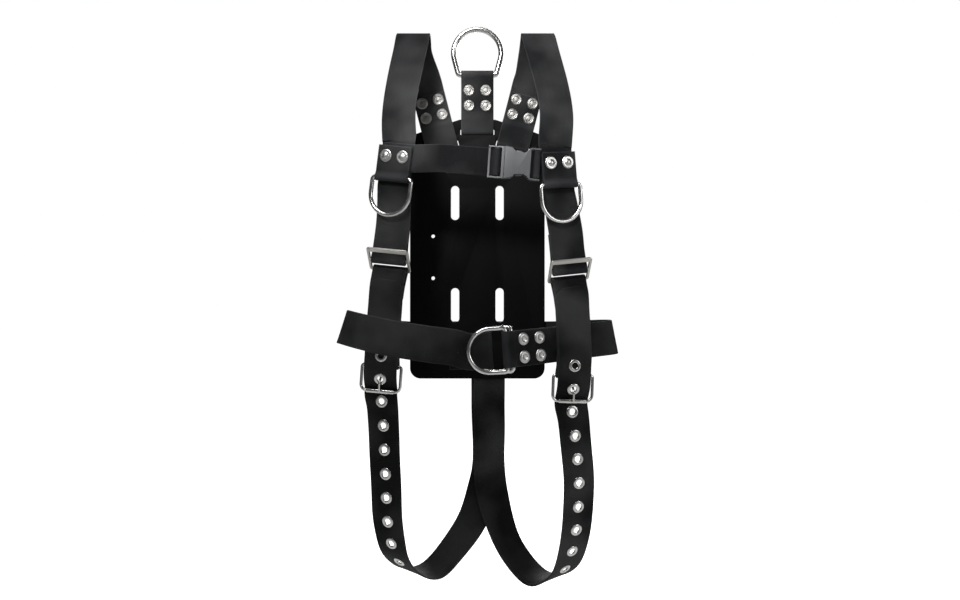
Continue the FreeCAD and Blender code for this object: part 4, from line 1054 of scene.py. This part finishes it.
def d_ring_points(radius, depth, lean, corner):
    centre_z = -(depth - radius)
    turn = math.radians(lean)
    end = Vector((radius * math.cos(turn), 0, centre_z + radius * math.sin(turn)))
    leg = Vector((-math.sin(turn), 0, math.cos(turn)))
    foot = end + leg * (-end.z / leg.z)
    setback = corner * math.tan(math.radians(90 - lean) / 2)
    leg_end = foot - leg * setback
    bar_end = foot - X_AXIS * setback
    corner_centre = Vector((bar_end.x, 0, -corner))
    half = [Vector((bar_end.x * k / 8, 0, 0)) for k in range(8)]
    half += bend_points(corner_centre, bar_end, leg_end, 8)
    half += [leg_end.lerp(end, k / 4) for k in range(1, 4)]
    half += [Vector((x, 0, z)) for x, z in arc(0, centre_z, radius, math.degrees(turn), -90, 24)]
    return half + [Vector((-p.x, 0, p.z)) for p in reversed(half[1:-1])]


def ring_piece(name, cad_node, body, base, radius=RING_RADIUS, depth=RING_DEPTH,
               wire=RING_WIRE, lean=0):
    """A bent and welded D-ring; the weld is a low bead in the middle of the bar."""
    points = d_ring_points(radius, depth, lean, RING_CORNER)
    swell = []
    for p in points:
        on_bar = abs(p.z) < 0.01
        swell.append(wire * (1 + (0.035 * math.exp(-(p.x / 2.4) ** 2) if on_bar else 0)))
    verts, faces = tube(points, swell, True, 28)
    finish_piece(gathered(name, [(verts, faces, base)]), STEEL, body, "ring_steel", cad_node)


ring_piece("lift_ring_wire", "lift_ring", "lift_ring",
           Matrix.Translation((0, 0, LIFT_BAR_Z)) @ Matrix.Rotation(math.pi, 4, "X"),
           LIFT_RING_RADIUS, LIFT_RING_DEPTH, LIFT_WIRE, LIFT_RING_LEAN)
sideways = Matrix.Rotation(math.pi / 2, 4, "Y")
rear_frame = waist_frame()
rear_frame.translation = belt_frame() @ Vector((WAIST_BAR_PITCH, 0, 0))
ring_piece("waist_ring_front_wire", "waist_ring_front", "waist_ring_front",
           waist_frame() @ Matrix.Rotation(math.radians(-FRONT_RING_SWING), 4, "Z") @ sideways)
ring_piece("waist_ring_rear_wire", "waist_ring_rear", "harness",
           rear_frame @ Matrix.Rotation(math.radians(-REAR_RING_SWING), 4, "Z") @ sideways)


def rounded_bar(half, radius):
    """Outline of a sleeve with rounded ends, for turned(), as (radius, along)."""
    inner, outer = radius
    return rounded([(inner, -half), (outer, -half), (outer, half), (inner, half)], 0.8)


along_x = Matrix.Rotation(-math.pi / 2, 4, "Z")
for side in SIDES:
    end = side.name
    ring_piece("chest_ring_wire_" + end, "chest_ring_" + end, "chest_ring_" + end,
               tab_frame(side) @ Matrix.Translation(TAB_BAR))
    base = leg_buckle_frame(side)
    low, half = -BUCKLE_HEIGHT, BUCKLE_HALF_WIDTH
    loop = []
    for sx, r, first in ((1, BUCKLE_CORNER, 90), (1, BUCKLE_LOW_CORNER, 0),
                         (-1, BUCKLE_LOW_CORNER, -90), (-1, BUCKLE_CORNER, 180)):
        cx = sx * (half - r)
        cz = -r if r == BUCKLE_CORNER else low + r
        loop += [Vector((x, 0, z)) for x, z in arc(cx, cz, r, first, first - 90, 8)]
    verts, faces = tube(loop, BUCKLE_WIRE, True)
    finish_piece(gathered("leg_buckle_wire_" + end, [(verts, faces, base)]), STEEL, "leg_buckle_" + end,
                 "ring_steel", "leg_buckle_frame_" + end)
    verts, faces = turned(rounded_bar(ROLLER_HALF_LENGTH, (BUCKLE_WIRE + 0.05, ROLLER_RADIUS)), 36)
    at_roller = base @ Matrix.Translation((0, 0, -BUCKLE_HEIGHT)) @ along_x
    finish_piece(gathered("leg_roller_tube_" + end, [(verts, faces, at_roller)]), STEEL,
                 "leg_roller_" + end, "ring_steel", "leg_buckle_roller_" + end)
    rest_y = -(ROLLER_RADIUS + 0.35 + PRONG_RADIUS)
    bends = [Vector((0, 0.3, -2.6)), Vector((0, 0.9, -15.5)), Vector((0, -7.2, -23.0)),
             Vector((0, rest_y, -BUCKLE_HEIGHT - 2.5))]
    line = [(p, X_AXIS) for p in bends]
    line = [p for p, _ in softened(resampled(line, 0.8), 8)]
    radii = [PRONG_RADIUS] * len(line)
    for k, share in enumerate((0.35, 0.62, 0.8, 0.92)):
        radii[-1 - k] = PRONG_RADIUS * share
    prong = tube(line, radii, False, 20)
    eye = turned(rounded_bar(2.2, (BUCKLE_WIRE + 0.05, BUCKLE_WIRE + 1.6)), 36)
    obj = gathered("leg_prong_wire_" + end, [(*prong, base), (*eye, base @ along_x)])
    finish_piece(obj, STEEL, "leg_prong_" + end, "ring_steel", "leg_buckle_prong_" + end)


# ==== stitching ====
def crossed_box(v0, v1, u):
    """A sewn box with its two diagonals."""
    a, b, c, d = (v0, -u), (v0, u), (v1, u), (v1, -u)
    return [(a, b), (b, c), (c, d), (d, a), (a, c), (b, d)]


def across_rows(places, u):
    return [((v, -u), (v, u)) for v in places]


for side in SIDES:
    lower = straps["lower_webbing_" + side.name]
    rows = across_rows((3.5, 8.0, 12.5), STITCH_HALF_ROW)
    rows += across_rows((lower.length - 3.5, lower.length - 7.5), STITCH_HALF_ROW)
    stitched("lower_stitching_" + side.name, lower, rows)
    leg = straps["leg_webbing_" + side.name]
    stitched("riser_stitching_" + side.name, leg, crossed_box(leg.length - 38, leg.length - 5, 19.0))
belt_tail = straps["belt_webbing_left"]
stitched("belt_tail_stitching", belt_tail,
         across_rows((belt_tail.length - 4, belt_tail.length - 11), STITCH_HALF_ROW))


# ==== moulded and stamped pieces ====
def eased(name, cad_node, width, material, body, slot_name):
    """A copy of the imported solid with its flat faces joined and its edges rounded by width."""
    shape = bmesh.new()
    shape.from_mesh(NODES[cad_node].data)
    bmesh.ops.remove_doubles(shape, verts=shape.verts, dist=1e-6)
    bmesh.ops.dissolve_limit(shape, angle_limit=math.radians(1.0), verts=shape.verts,
                             edges=shape.edges)
    limit = math.radians(24)
    sharp = [e for e in shape.edges if len(e.link_faces) == 2 and e.calc_face_angle(0) > limit]
    bmesh.ops.bevel(shape, geom=sharp, offset=width * MM, offset_type="OFFSET", segments=3,
                    profile=0.5, affect="EDGES", clamp_overlap=True)
    bmesh.ops.recalc_face_normals(shape, faces=shape.faces)
    data = bpy.data.meshes.new(name)
    shape.to_mesh(data)
    shape.free()
    data.shade_smooth()
    data.set_sharp_from_angle(angle=math.radians(35))
    obj = link(name, data)
    return finish_piece(obj, material, body, slot_name, cad_node)


eased("plate_shell", "back_plate", 0.5, PLATE, "harness", "plate")
for side in SIDES:
    eased("slider_frame_" + side.name, "slider_" + side.name, 0.4, SLIDER_STEEL, "harness",
          "ring_steel")
eased("housing_shell", "buckle_housing", 0.9, GREY_PLASTIC, "harness", "buckle_housing")
eased("tongue_frame", "buckle_tongue", 0.7, TONGUE_PLASTIC, "chest_tongue", "buckle_tongue")
eased("tongue_prongs", "buckle_prongs", 0.6, TONGUE_PLASTIC, "chest_tongue", "buckle_tongue")


# ==== studio ====
FLOOR_Z = -0.95
FLOOR_HALF = 14.0
DIM_BELOW = 0.02              # strength of the surroundings, as the piece sees them
DIM_ABOVE = 0.13
LAMPS = (("key", (-0.25, -0.62, 0.75), 0.6, 8.0),
         ("fill", (1.9, -1.5, 0.1), 0.9, 9.0),
         ("back", (0.5, 1.7, 0.5), 1.2, 34.0))
LAMP_TARGET = Vector((0, -0.05, -0.42))
CHEST_LIGHT_PLACE = (-0.35, -1.15, 0.42)
CHEST_LIGHT_TARGET = Vector((0, -0.1, -0.13))
CHEST_LIGHT_POWER = 80.0
CHEST_LIGHT_CONE = 27.0       # degrees across
CAMERA_PLACE = (0.004, -1.350, -0.406)
CAMERA_LENS = 33.4


def aimed(name, lamp, place, target):
    obj = link(name, lamp)
    obj.location = place
    obj.rotation_euler = (target - Vector(place)).to_track_quat("-Z", "Y").to_euler()


def floor():
    half = FLOOR_HALF
    corners = [(-half, -half), (half, -half), (half, half), (-half, half)]
    data = bpy.data.meshes.new("floor")
    data.from_pydata([(x, y, FLOOR_Z) for x, y in corners], [], [(0, 1, 2, 3)])
    obj = link("floor", data)
    material, tree, shader = new_material("pale floor")
    seen = node(tree, "LightPath").outputs["Is Camera Ray"]
    feed(tree, shader, {"Base Color": (0.93, 0.93, 0.93, 1), "Roughness": 0.9,
                        "Emission Color": (1, 1, 1, 1), "Emission Strength": seen})
    data.materials.append(material)


def surroundings():
    """White where it is looked at; dim, and dimmer below, where the piece is lit by it."""
    world = bpy.data.worlds.new("studio")
    bpy.context.scene.world = world
    world.use_nodes = True
    tree = world.node_tree
    direction = node(tree, "TexCoord").outputs["Generated"]
    split = node(tree, "SeparateXYZ", Vector=direction)
    height = node(tree, "MapRange", i0=split.outputs[2], i1=-0.3, i2=0.9, i3=DIM_BELOW,
                  i4=DIM_ABOVE).outputs[0]
    seen = node(tree, "LightPath").outputs["Is Camera Ray"]
    feed(tree, tree.nodes["Background"], {"Color": (1, 1, 1, 1),
                                          "Strength": maths(tree, "MAXIMUM", height, seen)})


def lamps():
    for name, place, size, power in LAMPS:
        lamp = bpy.data.lights.new(name, "AREA")
        lamp.shape = "SQUARE"
        lamp.size = size
        lamp.energy = power
        aimed(name, lamp, place, LAMP_TARGET)
    lamp = bpy.data.lights.new("chest light", "SPOT")
    lamp.energy = CHEST_LIGHT_POWER
    lamp.shadow_soft_size = 0.16
    lamp.spot_size = math.radians(CHEST_LIGHT_CONE)
    lamp.spot_blend = 1.0
    aimed("chest light", lamp, CHEST_LIGHT_PLACE, CHEST_LIGHT_TARGET)


def camera():
    data = bpy.data.cameras.new("camera")
    data.lens = CAMERA_LENS
    data.sensor_width = 36.0
    obj = link("camera", data)
    obj.location = CAMERA_PLACE
    obj.rotation_euler = (math.pi / 2, 0, 0)
    bpy.context.scene.camera = obj


floor()
surroundings()
lamps()
bpy.context.scene.view_settings.view_transform = "Standard"
camera()
